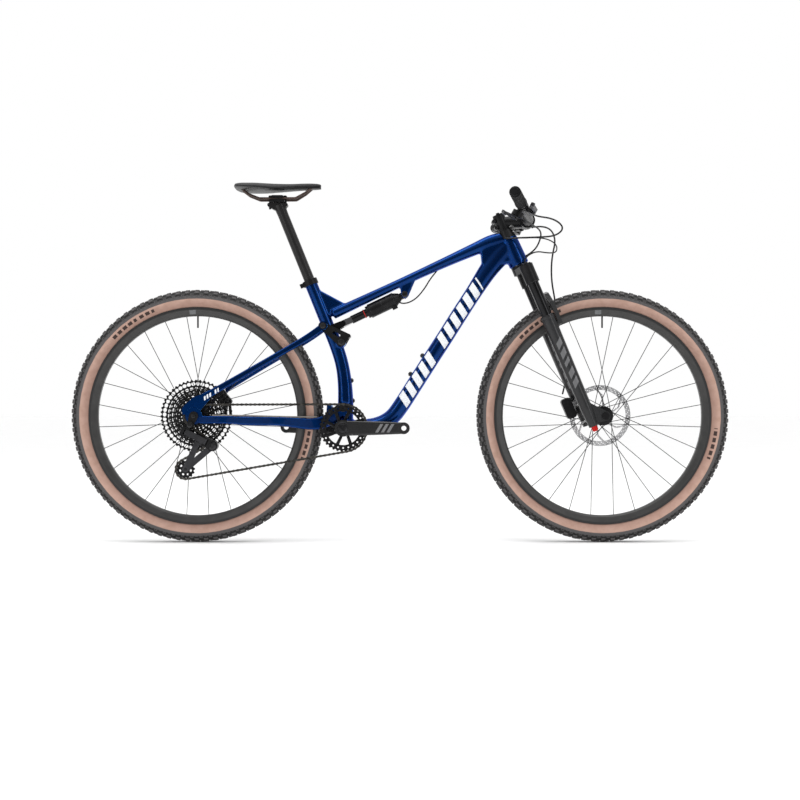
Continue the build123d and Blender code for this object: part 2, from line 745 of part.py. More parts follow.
def build_spokes(centre, flange_y):
    """Straight spokes from both flanges, leaning forward and backward in turn."""
    x, y, z = centre
    step = 360.0 / spokes_per_wheel
    for index in range(spokes_per_wheel):
        side = 1 if index % 2 else -1
        lean = 1 if (index // 2) % 2 else -1
        rim_turn = radians(90 + step * (index + 0.5))
        hub_turn = rim_turn + lean * radians(spoke_sweep)
        hub_y = side * (flange_y + lean * spoke_hub_offset)
        rim_y = side * (2.6 + lean * spoke_hub_offset)
        hub_r = hub_flange_radius - 3
        rim_r = rim_inner_radius + 1.5
        bar((x + hub_r * cos(hub_turn), hub_y, z + hub_r * sin(hub_turn)),
            (x + rim_r * cos(rim_turn), rim_y, z + rim_r * sin(rim_turn)), spoke_radius)


def build_rotor(centre, outer, y):
    """Brake disc: a braking ring on six swept arms round a carrier."""
    x, _, z = centre
    ring_width = 14.0
    carrier = 24.0
    bar((x, y - rotor_thickness / 2, z), (x, y + rotor_thickness / 2, z), outer)
    bar((x, y - 2, z), (x, y + 2, z), outer - ring_width, Mode.SUBTRACT)
    bar((x, y - rotor_thickness / 2, z), (x, y + rotor_thickness / 2, z), carrier)
    for index in range(6):
        turn = radians(index * 60)
        swept = turn + radians(38)
        inner = (x + (carrier - 4) * cos(turn), z + (carrier - 4) * sin(turn))
        reach = outer - ring_width + 2
        tip = (x + reach * cos(swept), z + reach * sin(swept))
        slab([(*inner, 3.5), (*tip, 3)], y - rotor_thickness / 2, y + rotor_thickness / 2)
    bar((x, y - 3, z), (x, y + 3, z), 17.2, Mode.SUBTRACT)


front_flange = 29.0
rear_flange = 22.0
with BuildPart() as front_tyre:
    build_tyre(front_axle)
save(front_tyre, "front_tyre")
with BuildPart() as rear_tyre:
    build_tyre(rear_axle)
save(rear_tyre, "rear_tyre")
with BuildPart() as front_rim:
    build_rim(front_axle)
save(front_rim, "front_rim")
with BuildPart() as rear_rim:
    build_rim(rear_axle)
save(rear_rim, "rear_rim")
with BuildPart() as front_spokes:
    build_spokes(front_axle, front_flange)
save(front_spokes, "front_spokes")
with BuildPart() as rear_spokes:
    build_spokes(rear_axle, rear_flange)
save(rear_spokes, "rear_spokes")

with BuildPart() as front_hub:
    half = front_hub_width / 2 - body_gap
    turned(front_axle, [
        (axle_radius + running_gap, -half), (15.5, -half), (15.5, -half + 5), (12, -half + 7),
        (14, -front_flange - 5), (hub_flange_radius, -front_flange - 3),
        (hub_flange_radius, -front_flange + 3), (14, -front_flange + 7),
        (14, front_flange - 7), (hub_flange_radius, front_flange - 3),
        (hub_flange_radius, front_flange + 3), (16, front_flange + 5), (17, rotor_plane - 4),
        (17, rotor_plane + 4), (15.5, half - 5), (15.5, half), (axle_radius + running_gap, half),
    ])
save(front_hub, "front_hub")

with BuildPart() as rear_hub:
    half = rear_hub_width / 2 - body_gap
    body_end = cog_plane(len(cog_teeth) - 1) + 3.5
    turned(rear_axle, [
        (rear_axle_radius + running_gap, -half), (9.5, -half), (9.5, body_end),
        (17, body_end), (17, -rear_flange - 2.4), (hub_flange_radius, -rear_flange - 2.4),
        (hub_flange_radius, -rear_flange + 3), (15, -rear_flange + 7), (15, rear_flange - 7),
        (hub_flange_radius, rear_flange - 3), (hub_flange_radius, rear_flange + 3),
        (16, rear_flange + 6), (17, 50), (17, 58), (12, 62), (12, half),
        (rear_axle_radius + running_gap, half),
    ])
save(rear_hub, "rear_hub")

with BuildPart() as front_rotor:
    build_rotor(front_axle, front_rotor_radius, rotor_plane)
save(front_rotor, "front_rotor")

rear_rotor_plane = 54.0
with BuildPart() as rear_rotor:
    build_rotor(rear_axle, rear_rotor_radius, rear_rotor_plane)
save(rear_rotor, "rear_rotor")

# ---------------------------------------------------------------- rear swingarm
dropout_radius = 24.0
dropout_inner = rear_hub_width / 2
dropout_outer = dropout_inner + 8
chainstay_line = [
    (-584, 78.2, 361, 22, 7.6),
    (-540, 76, 357, 22, 9),
    (-480, 68, 356, 23, 11),
    (-400, 57, 353, 25, 13),
    (-300, 47, 348, 30, 13),
    (-240, 41, 346, 34, 12),
    (-205, 37.5, 359, 36, 12),
    (-176, 37, 382, 30, 12),
]
stay_line = [
    (-573, 78, 416, 24, 7.6),
    (-530, 76.5, 441, 19, 9),
    (-450, 67, 488, 17, 10),
    (-370, 52, 535, 17, 11),
    (-300, 43, 576, 18, 10),
    (-250, 38.5, 608, 19, 7.5),
    (-226, 37.5, 626, 20, 7),
]


def side_line(stations, side, lift=0.0):
    """Tube stations moved to one side of the bike, and raised by lift."""
    return [(x, side * y, z + lift, depth, width) for x, y, z, depth, width in stations]


with BuildPart() as chainstays:
    for side in (-1, 1):
        tube(side_line(chainstay_line, side))
        low, high = sorted((side * 30.4, side * 43.5))
        slab([(*main_pivot, 17), (-196, 370, 17)], low, high)
        low, high = sorted((side * dropout_inner, side * dropout_outer))
        pin(-axle_x, tyre_radius, dropout_radius, low, high)
    panel([(-214, 372), (-196, 372), (-193, 386), (-200, 400), (-212, 400)], -40, 40)
    pin(*main_pivot, 7.5 + running_gap, -60, 60, Mode.SUBTRACT)
    pin(-axle_x, tyre_radius, rear_axle_radius + running_gap, -100, 100, Mode.SUBTRACT)
save(chainstays, "chainstays")

guard_line = [
    (x, y, z + depth / 2 + 2.2, 4, width - 2) for x, y, z, depth, width in chainstay_line[1:6]
]
with BuildPart() as chainstay_guard:
    tube(side_line(guard_line, -1))
    tube(side_line(chainstay_line, -1), -0.15, Mode.SUBTRACT)
save(chainstay_guard, "chainstay_guard")

open_pivot_radius = 8.1
with BuildPart() as seatstays:
    for side in (-1, 1):
        tube(side_line(stay_line, side))
        low, high = sorted((side * 34, side * 41))
        pin(*stay_pivot, 13, low, high)
        low, high = sorted((side * (dropout_inner + 0.3), side * (dropout_outer - 0.2)))
        slab([(-604, 382, 22), (-582, 405, 20), (-560, 420, 13)], low, high)
    pin(-axle_x, tyre_radius, dropout_radius + 0.5, -100, 100, Mode.SUBTRACT)
    panel([(-640, 372), (-560, 372), (-560, 340), (-640, 340)], -100, 100, Mode.SUBTRACT)
    pin(*stay_pivot, open_pivot_radius, -60, 60, Mode.SUBTRACT)
save(seatstays, "seatstays")

rocker_inner = 26.4
rocker_outer = 33.4
with BuildPart() as rocker_link:
    for side in (-1, 1):
        low, high = sorted((side * rocker_inner, side * rocker_outer))
        slab([(*rocker_pivot, 13), (*stay_pivot, 11), (*yoke_pivot, 12), (-156, 600, 9)], low, high)
        slab([(-192, 609, 4.5), (-178, 602, 4.5)], low, high, Mode.SUBTRACT)
        low, high = sorted((side * (rocker_outer - 1), side * 41.6))
        pin(*stay_pivot, 4, low, high)
        low, high = sorted((side * 41.5, side * 44))
        pin(*stay_pivot, 10, low, high)
        low, high = sorted((side * 18.5, side * (rocker_inner + 1)))
        pin(*yoke_pivot, 4, low, high)
    pin(-150, 601, 6, -rocker_inner - 1, rocker_inner + 1)
    pin(*rocker_pivot, 6 + running_gap, -60, 60, Mode.SUBTRACT)
save(rocker_link, "rocker_link")

shock_length = Vector(
    shock_pivot[0] - yoke_pivot[0], 0, shock_pivot[1] - yoke_pivot[1]
).length
shaft_radius = 12.0
can_start = 120.0
can_radius = 21.0
shaft_inner_end = 180.0
yoke_plan = Plane(
    origin=shock_point(0, 0, -9),
    x_dir=shock_direction,
    z_dir=shock_frame.y_dir,
)
with BuildPart() as shock_shaft:
    eye = shock_point(0)
    arm = shock_point(42)
    for side in (-1, 1):
        low, high = sorted((side * 18.8, side * 25.8))
        slab([(eye.X, eye.Z, 12.5), (arm.X, arm.Z, 9)], low, high)
    with BuildSketch(yoke_plan) as yoke:
        Polygon(
            (34, -25.8), (46, -25.8), (72, -14), (72, 14), (46, 25.8), (34, 25.8),
            (34, 18.8), (42, 9), (42, -9), (34, -18.8),
            align=None,
        )
    extrude(yoke.sketch, amount=18)
    bar(shock_point(70), shock_point(shaft_inner_end), shaft_radius)
    pin(*yoke_pivot, open_pivot_radius, -60, 60, Mode.SUBTRACT)
save(shock_shaft, "shock_shaft")

with BuildPart() as shock_can:
    bar(shock_point(can_start), shock_point(can_start + 8), 18)
    bar(shock_point(can_start + 8), shock_point(210), can_radius)
    cone(shock_point(209), shock_point(226), can_radius - 1, 12)
    bar(shock_point(224), shock_point(shock_length), 10)
    pin(*shock_pivot, 11, -10.9, 10.9)
    bar(shock_point(200, -6, -15), shock_point(200, -6, -27), 8)
    bar(shock_point(can_start - 1), shock_point(shaft_inner_end + 41),
        shaft_radius + running_gap, Mode.SUBTRACT)
    pin(*shock_pivot, 5 + running_gap, -30, 30, Mode.SUBTRACT)
save(shock_can, "shock_can")

with BuildPart() as rear_thru_axle:
    pin(-axle_x, tyre_radius, rear_axle_radius, -dropout_outer, dropout_outer)
    pin(-axle_x, tyre_radius, 10, dropout_outer + 0.1, dropout_outer + 4)
    pin(-axle_x, tyre_radius, rear_axle_radius, dropout_outer - 1, dropout_outer + 4)
save(rear_thru_axle, "rear_thru_axle")

rear_brake_angle = radians(40)
rear_brake_out = Vector(cos(rear_brake_angle), 0, sin(rear_brake_angle))
rear_brake_along = Vector(sin(rear_brake_angle), 0, -cos(rear_brake_angle))
rear_caliper_centre = Vector(-axle_x, rear_rotor_plane, tyre_radius) + rear_brake_out * 86
with BuildPart() as rear_caliper:
    caliper(rear_caliper_centre, rear_brake_along, rear_brake_out, 11)
    foot = rear_caliper_centre + rear_brake_along * 22 + rear_brake_out * 6
    bar(foot + Vector(0, 7, 0), Vector(foot.X + 4, 63, 366), 4.5)
    heel = rear_caliper_centre + rear_brake_along * 26 - rear_brake_out * 8
    bar(heel + Vector(0, 7, 0), Vector(heel.X - 4, 65, 366), 4.5)
save(rear_caliper, "rear_caliper")

# ---------------------------------------------------------------- rear derailleur
b_pivot = (-601.0, 343.0)
with BuildPart() as derailleur_hanger:
    slab([(-axle_x, tyre_radius, 13), (*b_pivot, 9)], -dropout_outer - 6, -dropout_outer - 0.2)
    pin(-axle_x, tyre_radius, 4, -dropout_outer - 7, -dropout_outer - 5)
save(derailleur_hanger, "derailleur_hanger")

link_length = 62.0
link_spread = 9.0
link_slope = radians(-26.6)
p_pivot = (-538.0, 283.0)
link_direction = Vector(cos(link_slope), 0, sin(link_slope))
link_axis = Vector(-sin(link_slope), 0, cos(link_slope))
link_frame = Plane(origin=(-612, -84, 322), x_dir=link_direction, z_dir=link_axis)


def link_point(along, left, up):
    """A point in the derailleur links' frame."""
    return link_frame.from_local_coords(Vector(along, left, up))


def link_block(centre, size):
    """Rectangular block in the links' frame, by its centre and its three sizes."""
    base = link_point(centre[0], centre[1], centre[2] - size[2] / 2)
    with BuildSketch(Plane(origin=base, x_dir=link_direction, z_dir=link_axis)) as block:
        RectangleRounded(size[0], size[1], 2)
    extrude(block.sketch, amount=size[2])


def knuckle(along, web_side):
    """Fork of a knuckle: two tabs over the link ends, their web and the two pins."""
    for height in (-11, 11):
        link_block((along, 0, height), (14, 2 * link_spread + 12, 5))
    link_block((along + web_side * 11, 0, 0), (10, 2 * link_spread + 12, 27))
    for left in (-link_spread, link_spread):
        bar(link_point(along, left, -13), link_point(along, left, 13), 2.5)


with BuildPart() as derailleur_b_knuckle:
    knuckle(0, -1)
    tab = link_point(0, 0, 16)
    slab([(*b_pivot, 10), (tab.X, tab.Z, 5)], -99, -dropout_outer - 6.3)
save(derailleur_b_knuckle, "derailleur_b_knuckle")

for label, left in (("derailleur_outer_link", -link_spread), ("derailleur_inner_link", link_spread)):
    with BuildPart() as link:
        with BuildSketch(Plane(origin=link_point(0, left, -8), x_dir=link_direction,
                               z_dir=link_axis)) as outline:
            Circle(4)
            with Locations((link_length, 0)):
                Circle(4)
            make_hull()
            Circle(2.5 + running_gap, mode=Mode.SUBTRACT)
            with Locations((link_length, 0)):
                Circle(2.5 + running_gap, mode=Mode.SUBTRACT)
        extrude(outline.sketch, amount=16)
    save(link, label)

cage_gap = 4.5
cage_wall = 1.6
with BuildPart() as derailleur_p_knuckle:
    knuckle(link_length, 1)
    pin(*p_pivot, 16, -90, -chain_line - cage_gap - cage_wall - 0.5)
    pin(*p_pivot, 4 + running_gap, -82, -40, Mode.SUBTRACT)
save(derailleur_p_knuckle, "derailleur_p_knuckle")

with BuildPart() as derailleur_cage:
    outer_low = -chain_line - cage_gap - cage_wall
    outer_high = -chain_line - cage_gap
    slab([(*p_pivot, 12), (*guide_pulley_at, 8)], outer_low, outer_high)
    slab([(*p_pivot, 9), (*tension_pulley_at, 9)], outer_low, outer_high)
    slab([(*guide_pulley_at, 8), (*tension_pulley_at, 9)], outer_low, outer_high)
    inner_low = -chain_line + cage_gap
    slab([(*guide_pulley_at, 8), (*tension_pulley_at, 9)], inner_low, inner_low + cage_wall)
    for x, z in (guide_pulley_at, tension_pulley_at):
        pin(x, z, 2.5, outer_low, inner_low + cage_wall)
    pin(*p_pivot, 4, -81, outer_high)
save(derailleur_cage, "derailleur_cage")

tooth_root = 4.2


def sprocket(centre, teeth, y, thickness, bore):
    """Plain sprocket disc out to its tooth roots."""
    low = y - thickness / 2
    high = y + thickness / 2
    pin(*centre, pitch_radius(teeth) - tooth_root, low, high)
    pin(*centre, bore, low - 1, high + 1, Mode.SUBTRACT)


with BuildPart() as guide_pulley:
    sprocket(guide_pulley_at, guide_teeth, -chain_line, 2.4, 2.5 + running_gap)
save(guide_pulley, "guide_pulley")
with BuildPart() as tension_pulley:
    sprocket(tension_pulley_at, tension_teeth, -chain_line, 2.4, 2.5 + running_gap)
save(tension_pulley, "tension_pulley")

# ---------------------------------------------------------------- cassette, cranks and chain
with BuildPart() as cassette:
    last = len(cog_teeth) - 1
    for index, teeth in enumerate(cog_teeth):
        low = cog_plane(index) - cog_thickness / 2
        pin(-axle_x, tyre_radius, pitch_radius(teeth) - tooth_root, low, low + cog_thickness)
        if index < last:
            core = pitch_radius(teeth) - tooth_root - 3
            pin(-axle_x, tyre_radius, core, low, cog_plane(index + 1))
    pin(-axle_x, tyre_radius, 17.5, cog_plane(last), cog_plane(last) + 3)
    pin(-axle_x, tyre_radius, 9.5 + running_gap, cog_plane(0) - 5, cog_plane(last) + 10,
        Mode.SUBTRACT)
save(cassette, "cassette")

bb_x, bb_z = bottom_bracket
with BuildPart() as crank_right_arm:
    tube([
        (bb_x, -73, bb_z, 44, 14),
        (bb_x + 0.45 * crank_length, -76, bb_z, 40, 13),
        (bb_x + crank_length, -77.5, bb_z, 33, 13),
    ])
    pin(bb_x, bb_z, 23, -80, -crank_inner_face)
    pin(bb_x + crank_length, bb_z, 17, -crank_outer_face, -71)
    pin(bb_x, bb_z, spindle_radius + running_gap, -spindle_end, -60, Mode.SUBTRACT)
    pin(bb_x + crank_length, bb_z, pedal_thread_radius, -90, -60, Mode.SUBTRACT)
    # spindle, pressed into this arm
    pin(bb_x, bb_z, spindle_radius, body_gap - spindle_end, spindle_end)
    pin(bb_x, bb_z, spindle_radius - spindle_wall, -90, 90, Mode.SUBTRACT)
save(crank_right_arm, "crank_right_arm")

with BuildPart() as crank_left_arm:
    tube([
        (bb_x, 73, bb_z, 44, 14),
        (bb_x - 0.45 * crank_length, 76, bb_z, 40, 13),
        (bb_x - crank_length, 77.5, bb_z, 33, 13),
    ])
    pin(bb_x, bb_z, 23, crank_inner_face, 80)
    pin(bb_x - crank_length, bb_z, 17, 71, crank_outer_face)
    pin(bb_x, bb_z, spindle_radius + running_gap, 60, 90, Mode.SUBTRACT)
    pin(bb_x - crank_length, bb_z, pedal_thread_radius, 60, 90, Mode.SUBTRACT)
save(crank_left_arm, "crank_left_arm")

ring_root = pitch_radius(chainring_teeth) - tooth_root
with BuildPart() as chainring:
    pin(bb_x, bb_z, ring_root, -chain_line - 2, -chain_line + 2)
    with BuildSketch(side_plane(-chain_line + 3)) as windows:
        with Locations((bb_x, bb_z)):
            with PolarLocations(41, 8):
                RectangleRounded(24, 22, 5)
    extrude(windows.sketch, amount=6, mode=Mode.SUBTRACT)
    pin(bb_x, bb_z, 24, -crank_inner_face + 0.1, -chain_line + 2)
    pin(bb_x, bb_z, spindle_radius + running_gap, -90, -40, Mode.SUBTRACT)
save(chainring, "chainring")

# wheels of the chain's path in the order it meets them: centre, radius, and +1 where
# the chain turns clockwise round it as seen from the right-hand side
chain_wheels = [
    ((-axle_x, tyre_radius), pitch_radius(cog_teeth[chain_cog]), 1),
    (bottom_bracket, pitch_radius(chainring_teeth), 1),
    (tension_pulley_at, pitch_radius(tension_teeth), 1),
    (guide_pulley_at, pitch_radius(guide_teeth), -1),
]


def chain_loop(shift):
    """Closed chain path moved outward by shift, as lines tangent to arcs."""
    wheels = [(centre, radius + sense * shift, sense) for centre, radius, sense in chain_wheels]
    headings = []
    for (start, start_r, start_s), (end, end_r, end_s) in zip(wheels, wheels[1:] + wheels[:1]):
        dx = end[0] - start[0]
        dz = end[1] - start[1]
        reach = (dx**2 + dz**2) ** 0.5
        slant = Vector(reach, 0, 0).get_angle(Vector(
            (reach**2 - (end_s * end_r - start_s * start_r) ** 2) ** 0.5,
            end_s * end_r - start_s * start_r,
            0,
        ))
        sign = 1 if end_s * end_r > start_s * start_r else -1
        headings.append(atan2(dz, dx) + radians(slant) * sign)
    for index, (centre, radius, sense) in enumerate(wheels):
        arrive = headings[index - 1]
        leave = headings[index]
        turn = (sense * (arrive - leave)) % (2 * pi)
        angles = [arrive + pi / 2 - sense * turn * share for share in (0, 0.5, 1)]
        points = [
            (centre[0] + sense * radius * cos(angle), centre[1] + sense * radius * sin(angle))
            for angle in angles
        ]
        ThreePointArc(*points)
        following, next_radius, next_sense = wheels[(index + 1) % len(wheels)]
        arrival = leave + pi / 2
        Line(
            points[2],
            (
                following[0] + next_sense * next_radius * cos(arrival),
                following[1] + next_sense * next_radius * sin(arrival),
            ),
        )


with BuildPart() as chain:
    with BuildSketch(side_plane(-chain_line + chain_width / 2)) as band:
        with BuildLine():
            chain_loop(chain_height / 2)
        make_face()
        with BuildLine():
            chain_loop(-chain_height / 2)
        make_face(mode=Mode.SUBTRACT)
    extrude(amount=chain_width)
save(chain, "chain")

# ---------------------------------------------------------------- seatpost and saddle
head_x, head_z = seatpost_head
head_along = (head_z - seat_tube_top[1]) / sin(radians(seat_angle))
rail_z = head_z + 7
with BuildPart() as seatpost:
    bar(seat_point(-seatpost_insert), seat_point(head_along - 14), seatpost_radius)
    bar(seat_point(-seatpost_insert), seat_point(head_along - 40), seatpost_radius - 2.2,
        Mode.SUBTRACT)
    cone(seat_point(head_along - 40), seat_point(head_along - 10), seatpost_radius, 17)
    slab([(head_x - 24, head_z - 10, 6), (head_x + 24, head_z - 10, 6), (head_x, head_z - 16, 12)],
         -13, 13)
save(seatpost, "seatpost")

with BuildPart() as rail_clamp:
    slab([(head_x - 18, rail_z - 6, 4), (head_x + 18, rail_z - 6, 4)], -28, 28)
    slab([(head_x - 14, rail_z + 5, 4), (head_x + 14, rail_z + 5, 4)], -28, 28)
    for side in (-1, 1):
        y = side * rail_spacing / 2
        bar((head_x - 30, y, rail_z), (head_x + 30, y, rail_z), rail_radius + running_gap,
            Mode.SUBTRACT)
    for x in (head_x - 23, head_x + 23):
        bar((x, 0, head_z - 22), (x, 0, head_z + 14), 3)
        slab([(x, head_z + 14, 4), (head_x, rail_z + 5, 4)], -7, 7)
save(rail_clamp, "rail_clamp")

rail_route = [
    (-462, 20, 1030), (-440, 21, 1013), (-410, 22, rail_z), (-357, 22, rail_z),
    (-304, 22, rail_z + 0.5), (-276, 16, 1018), (-256, 11, 1034),
]
with BuildPart() as saddle_rails:
    for side in (-1, 1):
        route = [Vector(x, side * y, z) for x, y, z in rail_route]
        with BuildLine() as path:
            FilletPolyline(*route, radius=14)
        wire = path.wires()[0]
        with BuildSketch(Plane(origin=wire @ 0, z_dir=wire % 0)) as section:
            Circle(rail_radius)
        sweep(section.sketch, path=wire)
save(saddle_rails, "saddle_rails")

saddle_line = [
    (-480, 0, 1040, 10, 96),
    (-462, 0, 1038.5, 18, 0.97 * saddle_width),
    (-425, 0, 1038, 20, saddle_width),
    (-380, 0, 1036, 19, 0.8 * saddle_width),
    (-325, 0, 1037, 18, 0.42 * saddle_width),
    (-270, 0, 1039.5, 16, 0.29 * saddle_width),
    (-230, 0, 1040, 12, 0.25 * saddle_width),
]
with BuildPart() as saddle:
    tube(saddle_line)
    for side in (-1, 1):
        route = [Vector(x, side * y, z) for x, y, z in rail_route]
        with BuildLine() as path:
            FilletPolyline(*route, radius=14)
        wire = path.wires()[0]
        with BuildSketch(Plane(origin=wire @ 0, z_dir=wire % 0)) as section:
            Circle(rail_radius + running_gap)
        sweep(section.sketch, path=wire, mode=Mode.SUBTRACT)
save(saddle, "saddle")

# ---------------------------------------------------------------- hoses and cables
hose_radius = 2.5
shift_radius = 2.3
remote_radius = 2.0


def left_point(forward, up, out):
    """The mirror image of control_point, on the left-hand control."""
    point = control_point(forward, up, out)
    return (point.X, -point.Y, point.Z)


with BuildPart() as front_control_lines:
    cable([
        left_point(22, 4, -62.3),
        left_point(22, 4, -92),
        (442, 78, 934),
        (462, 40, 892),
        (448, 40, 832),
        (450, 64, 770),
        (464, 88, 712),
        (472, 100, 650),
        (486, 101, 580),
        (496, 97, 510),
        (494, 84, 462),
        (484, 70, 432),
    ], hose_radius, "front brake hose")
    cable([
        left_point(22.08, -27, -14.3),
        left_point(30, -27, -43),
        (430, 112, 904),
        (466, 66, 880),
        (462, 20, 848),
        (432, -18, 842),
        (392, -40, 846),
        (358, -33, 824),
        (363.2, -30, 806.3),
    ], remote_radius, "fork remote cable")
save(front_control_lines, "front_control_lines")

with BuildPart() as rear_control_lines:
    cable([
        control_point(22, 4, -62.3),
        control_point(22, 4, -92),
        (442, -84, 934),
        (476, -50, 912),
        (452, -40, 889),
        (396, -46, 885),
        (348, -42, 884),
        (306, -27, 884),
    ], hose_radius, "rear brake hose")
    cable([
        control_point(22.08, -27, -14.3),
        control_point(30, -27, -43),
        (408, -80, 900),
        (402, -46, 866),
        (386, -30, 844),
        (364, -25, 832),
    ], shift_radius, "shift cable")
save(rear_control_lines, "rear_control_lines")
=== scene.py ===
import math
import bmesh
import bpy
from mathutils import Matrix, Vector


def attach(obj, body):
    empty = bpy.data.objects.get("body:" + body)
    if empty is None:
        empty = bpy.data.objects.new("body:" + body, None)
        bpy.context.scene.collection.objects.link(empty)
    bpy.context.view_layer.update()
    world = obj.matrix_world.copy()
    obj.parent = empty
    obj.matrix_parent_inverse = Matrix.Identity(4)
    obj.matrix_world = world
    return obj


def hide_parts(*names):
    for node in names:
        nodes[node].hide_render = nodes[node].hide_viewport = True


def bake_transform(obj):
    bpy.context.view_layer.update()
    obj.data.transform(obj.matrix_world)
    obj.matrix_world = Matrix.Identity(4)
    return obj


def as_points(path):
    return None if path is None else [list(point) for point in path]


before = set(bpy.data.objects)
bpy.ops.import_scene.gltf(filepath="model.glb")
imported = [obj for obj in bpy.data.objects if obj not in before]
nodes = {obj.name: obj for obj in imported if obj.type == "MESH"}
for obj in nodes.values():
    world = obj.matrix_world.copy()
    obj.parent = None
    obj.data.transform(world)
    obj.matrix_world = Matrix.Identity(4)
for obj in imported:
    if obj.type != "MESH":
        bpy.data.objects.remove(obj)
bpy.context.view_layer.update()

mm = 0.001
print("frame loaded:", len(nodes), "nodes")


# ---- small hand tools

def deselectAll():
    active = bpy.context.view_layer.objects.active
    if active and active.mode != "OBJECT":
        bpy.ops.object.mode_set(mode="OBJECT")
    bpy.ops.object.select_all(action="DESELECT")


def pick(*pieces):
    deselectAll()
    for piece in pieces:
        piece.select_set(True)
    bpy.context.view_layer.objects.active = pieces[0]


def openMesh():
    bpy.ops.object.mode_set(mode="EDIT")
    bpy.ops.mesh.select_mode(type="VERT")
    bpy.ops.mesh.select_all(action="SELECT")


def closeMesh():
    bpy.ops.object.mode_set(mode="OBJECT")


def selectVerts(piece, test):
    bpy.ops.mesh.select_mode(type="VERT")
    bpy.ops.mesh.select_all(action="DESELECT")
    shape = bmesh.from_edit_mesh(piece.data)
    for vert in shape.verts:
        vert.select_set(test(vert))
    shape.select_flush_mode()
    bmesh.update_edit_mesh(piece.data)


def selectFaces(piece, test):
    bpy.ops.mesh.select_mode(type="FACE")
    bpy.ops.mesh.select_all(action="DESELECT")
    shape = bmesh.from_edit_mesh(piece.data)
    shape.normal_update()
    for face in shape.faces:
        face.select_set(test(face))
    bmesh.update_edit_mesh(piece.data)


def moveVerts(piece, place):  # every vertex goes where place(co) says
    shape = bmesh.from_edit_mesh(piece.data)
    for vert in shape.verts:
        vert.co = place(vert.co)
    bmesh.update_edit_mesh(piece.data)


def turnSelection(angle, axis, centre):  # with no window the operator turns the other way
    bpy.ops.transform.rotate(value=-angle, orient_axis=axis, center_override=centre)


def mendNormals():
    bpy.ops.mesh.select_all(action="SELECT")
    bpy.ops.mesh.remove_doubles(threshold=0.00001)
    bpy.ops.mesh.normals_make_consistent(inside=False)


def applyModifiers(piece):
    pick(piece)
    for modifier in list(piece.modifiers):
        bpy.ops.object.modifier_apply(modifier=modifier.name)


def addModifier(piece, kind, **settings):
    modifier = piece.modifiers.new(kind.title(), kind)
    for key, value in settings.items():
        setattr(modifier, key, value)
    return modifier


def settle(piece, smoothAngle=40):
    applyModifiers(piece)
    bpy.ops.object.transform_apply(location=True, rotation=True, scale=True)
    bpy.ops.object.shade_smooth_by_angle(angle=math.radians(smoothAngle))
    return piece


def join(name, pieces):
    pick(*pieces)
    if len(pieces) > 1:
        bpy.ops.object.join()
    joined = bpy.context.object
    joined.name = name
    joined.data.name = name
    return joined


def repeatRound(piece, centre, count):  # copies turned about the axle line through centre
    deselectAll()
    bpy.ops.object.empty_add(location=centre, rotation=(0, 2 * math.pi / count, 0))
    guide = bpy.context.object
    addModifier(piece, "ARRAY", count=count, use_relative_offset=False,
                use_object_offset=True, offset_object=guide)
    applyModifiers(piece)
    bpy.data.objects.remove(guide)


def copyOf(piece, name):
    twin = piece.copy()
    twin.data = piece.data.copy()
    twin.name = name
    bpy.context.scene.collection.objects.link(twin)
    return twin


def facing(axis):  # Euler turn that lays a primitive's Z along axis
    return Vector(axis).to_track_quat("Z", "Y").to_euler()


def revolve(name, outline, centre, steps):  # (across, radius) points turned about the axle
    deselectAll()
    bpy.ops.mesh.primitive_plane_add(size=0.01, location=centre)
    piece = bpy.context.object
    openMesh()
    bpy.ops.mesh.merge(type="CENTER")
    before = Vector((0, 0, 0))
    first = True
    for across, radius in outline:
        place = Vector((0, across * mm, radius * mm))
        if first:
            bpy.ops.transform.translate(value=place - before)
            first = False
        else:
            bpy.ops.mesh.extrude_vertices_move(
                TRANSFORM_OT_translate={"value": place - before})
        before = place
    bpy.ops.mesh.select_all(action="SELECT")
    bpy.ops.mesh.spin(steps=steps, angle=2 * math.pi, center=centre, axis=(0, 1, 0))
    mendNormals()
    closeMesh()
    piece.name = name
    return piece


def rod(start, end, radius, sides=16, topRadius=None, bevel=0.0):  # round bar with softened ends
    start, end = Vector(start), Vector(end)
    run = end - start
    deselectAll()
    bpy.ops.mesh.primitive_cone_add(
        vertices=sides, radius1=radius, radius2=radius if topRadius is None else topRadius,
        depth=run.length, location=(start + end) / 2, rotation=facing(run))
    piece = bpy.context.object
    if bevel:
        addModifier(piece, "BEVEL", width=bevel, segments=2, limit_method="ANGLE")
    return settle(piece)


def boltHead(centre, axis, radius, height, socket=0.5, sides=20):  # cap head with a hex socket
    axis = Vector(axis).normalized()
    centre = Vector(centre)
    deselectAll()
    bpy.ops.mesh.primitive_cylinder_add(vertices=sides, radius=radius, depth=height,
                                        location=centre + axis * height / 2,
                                        rotation=facing(axis))
    head = bpy.context.object
    openMesh()
    selectFaces(head, lambda face: face.normal.z > 0.9)
    bpy.ops.mesh.bevel(offset=height * 0.22, segments=2, affect="EDGES")
    selectFaces(head, lambda face: face.normal.z > 0.99 and len(face.verts) > 8)
    bpy.ops.mesh.inset(thickness=radius * (0.9 - socket))
    bpy.ops.mesh.extrude_region_move(
        TRANSFORM_OT_translate={"value": axis * -height * 0.55})
    closeMesh()
    return settle(head)


def ring(centre, axis, radius, thick, rings=36, sides=10):
    deselectAll()
    bpy.ops.mesh.primitive_torus_add(location=centre, rotation=facing(axis),
                                     major_radius=radius, minor_radius=thick,
                                     major_segments=rings, minor_segments=sides)
    return settle(bpy.context.object)


def ride(piece, body, finish, slot=None, replaced=()):
    piece.data.materials.clear()
    piece.data.materials.append(finish)
    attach(piece, body)
    if replaced:
        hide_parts(*replaced)
    return piece


# ---- finishes

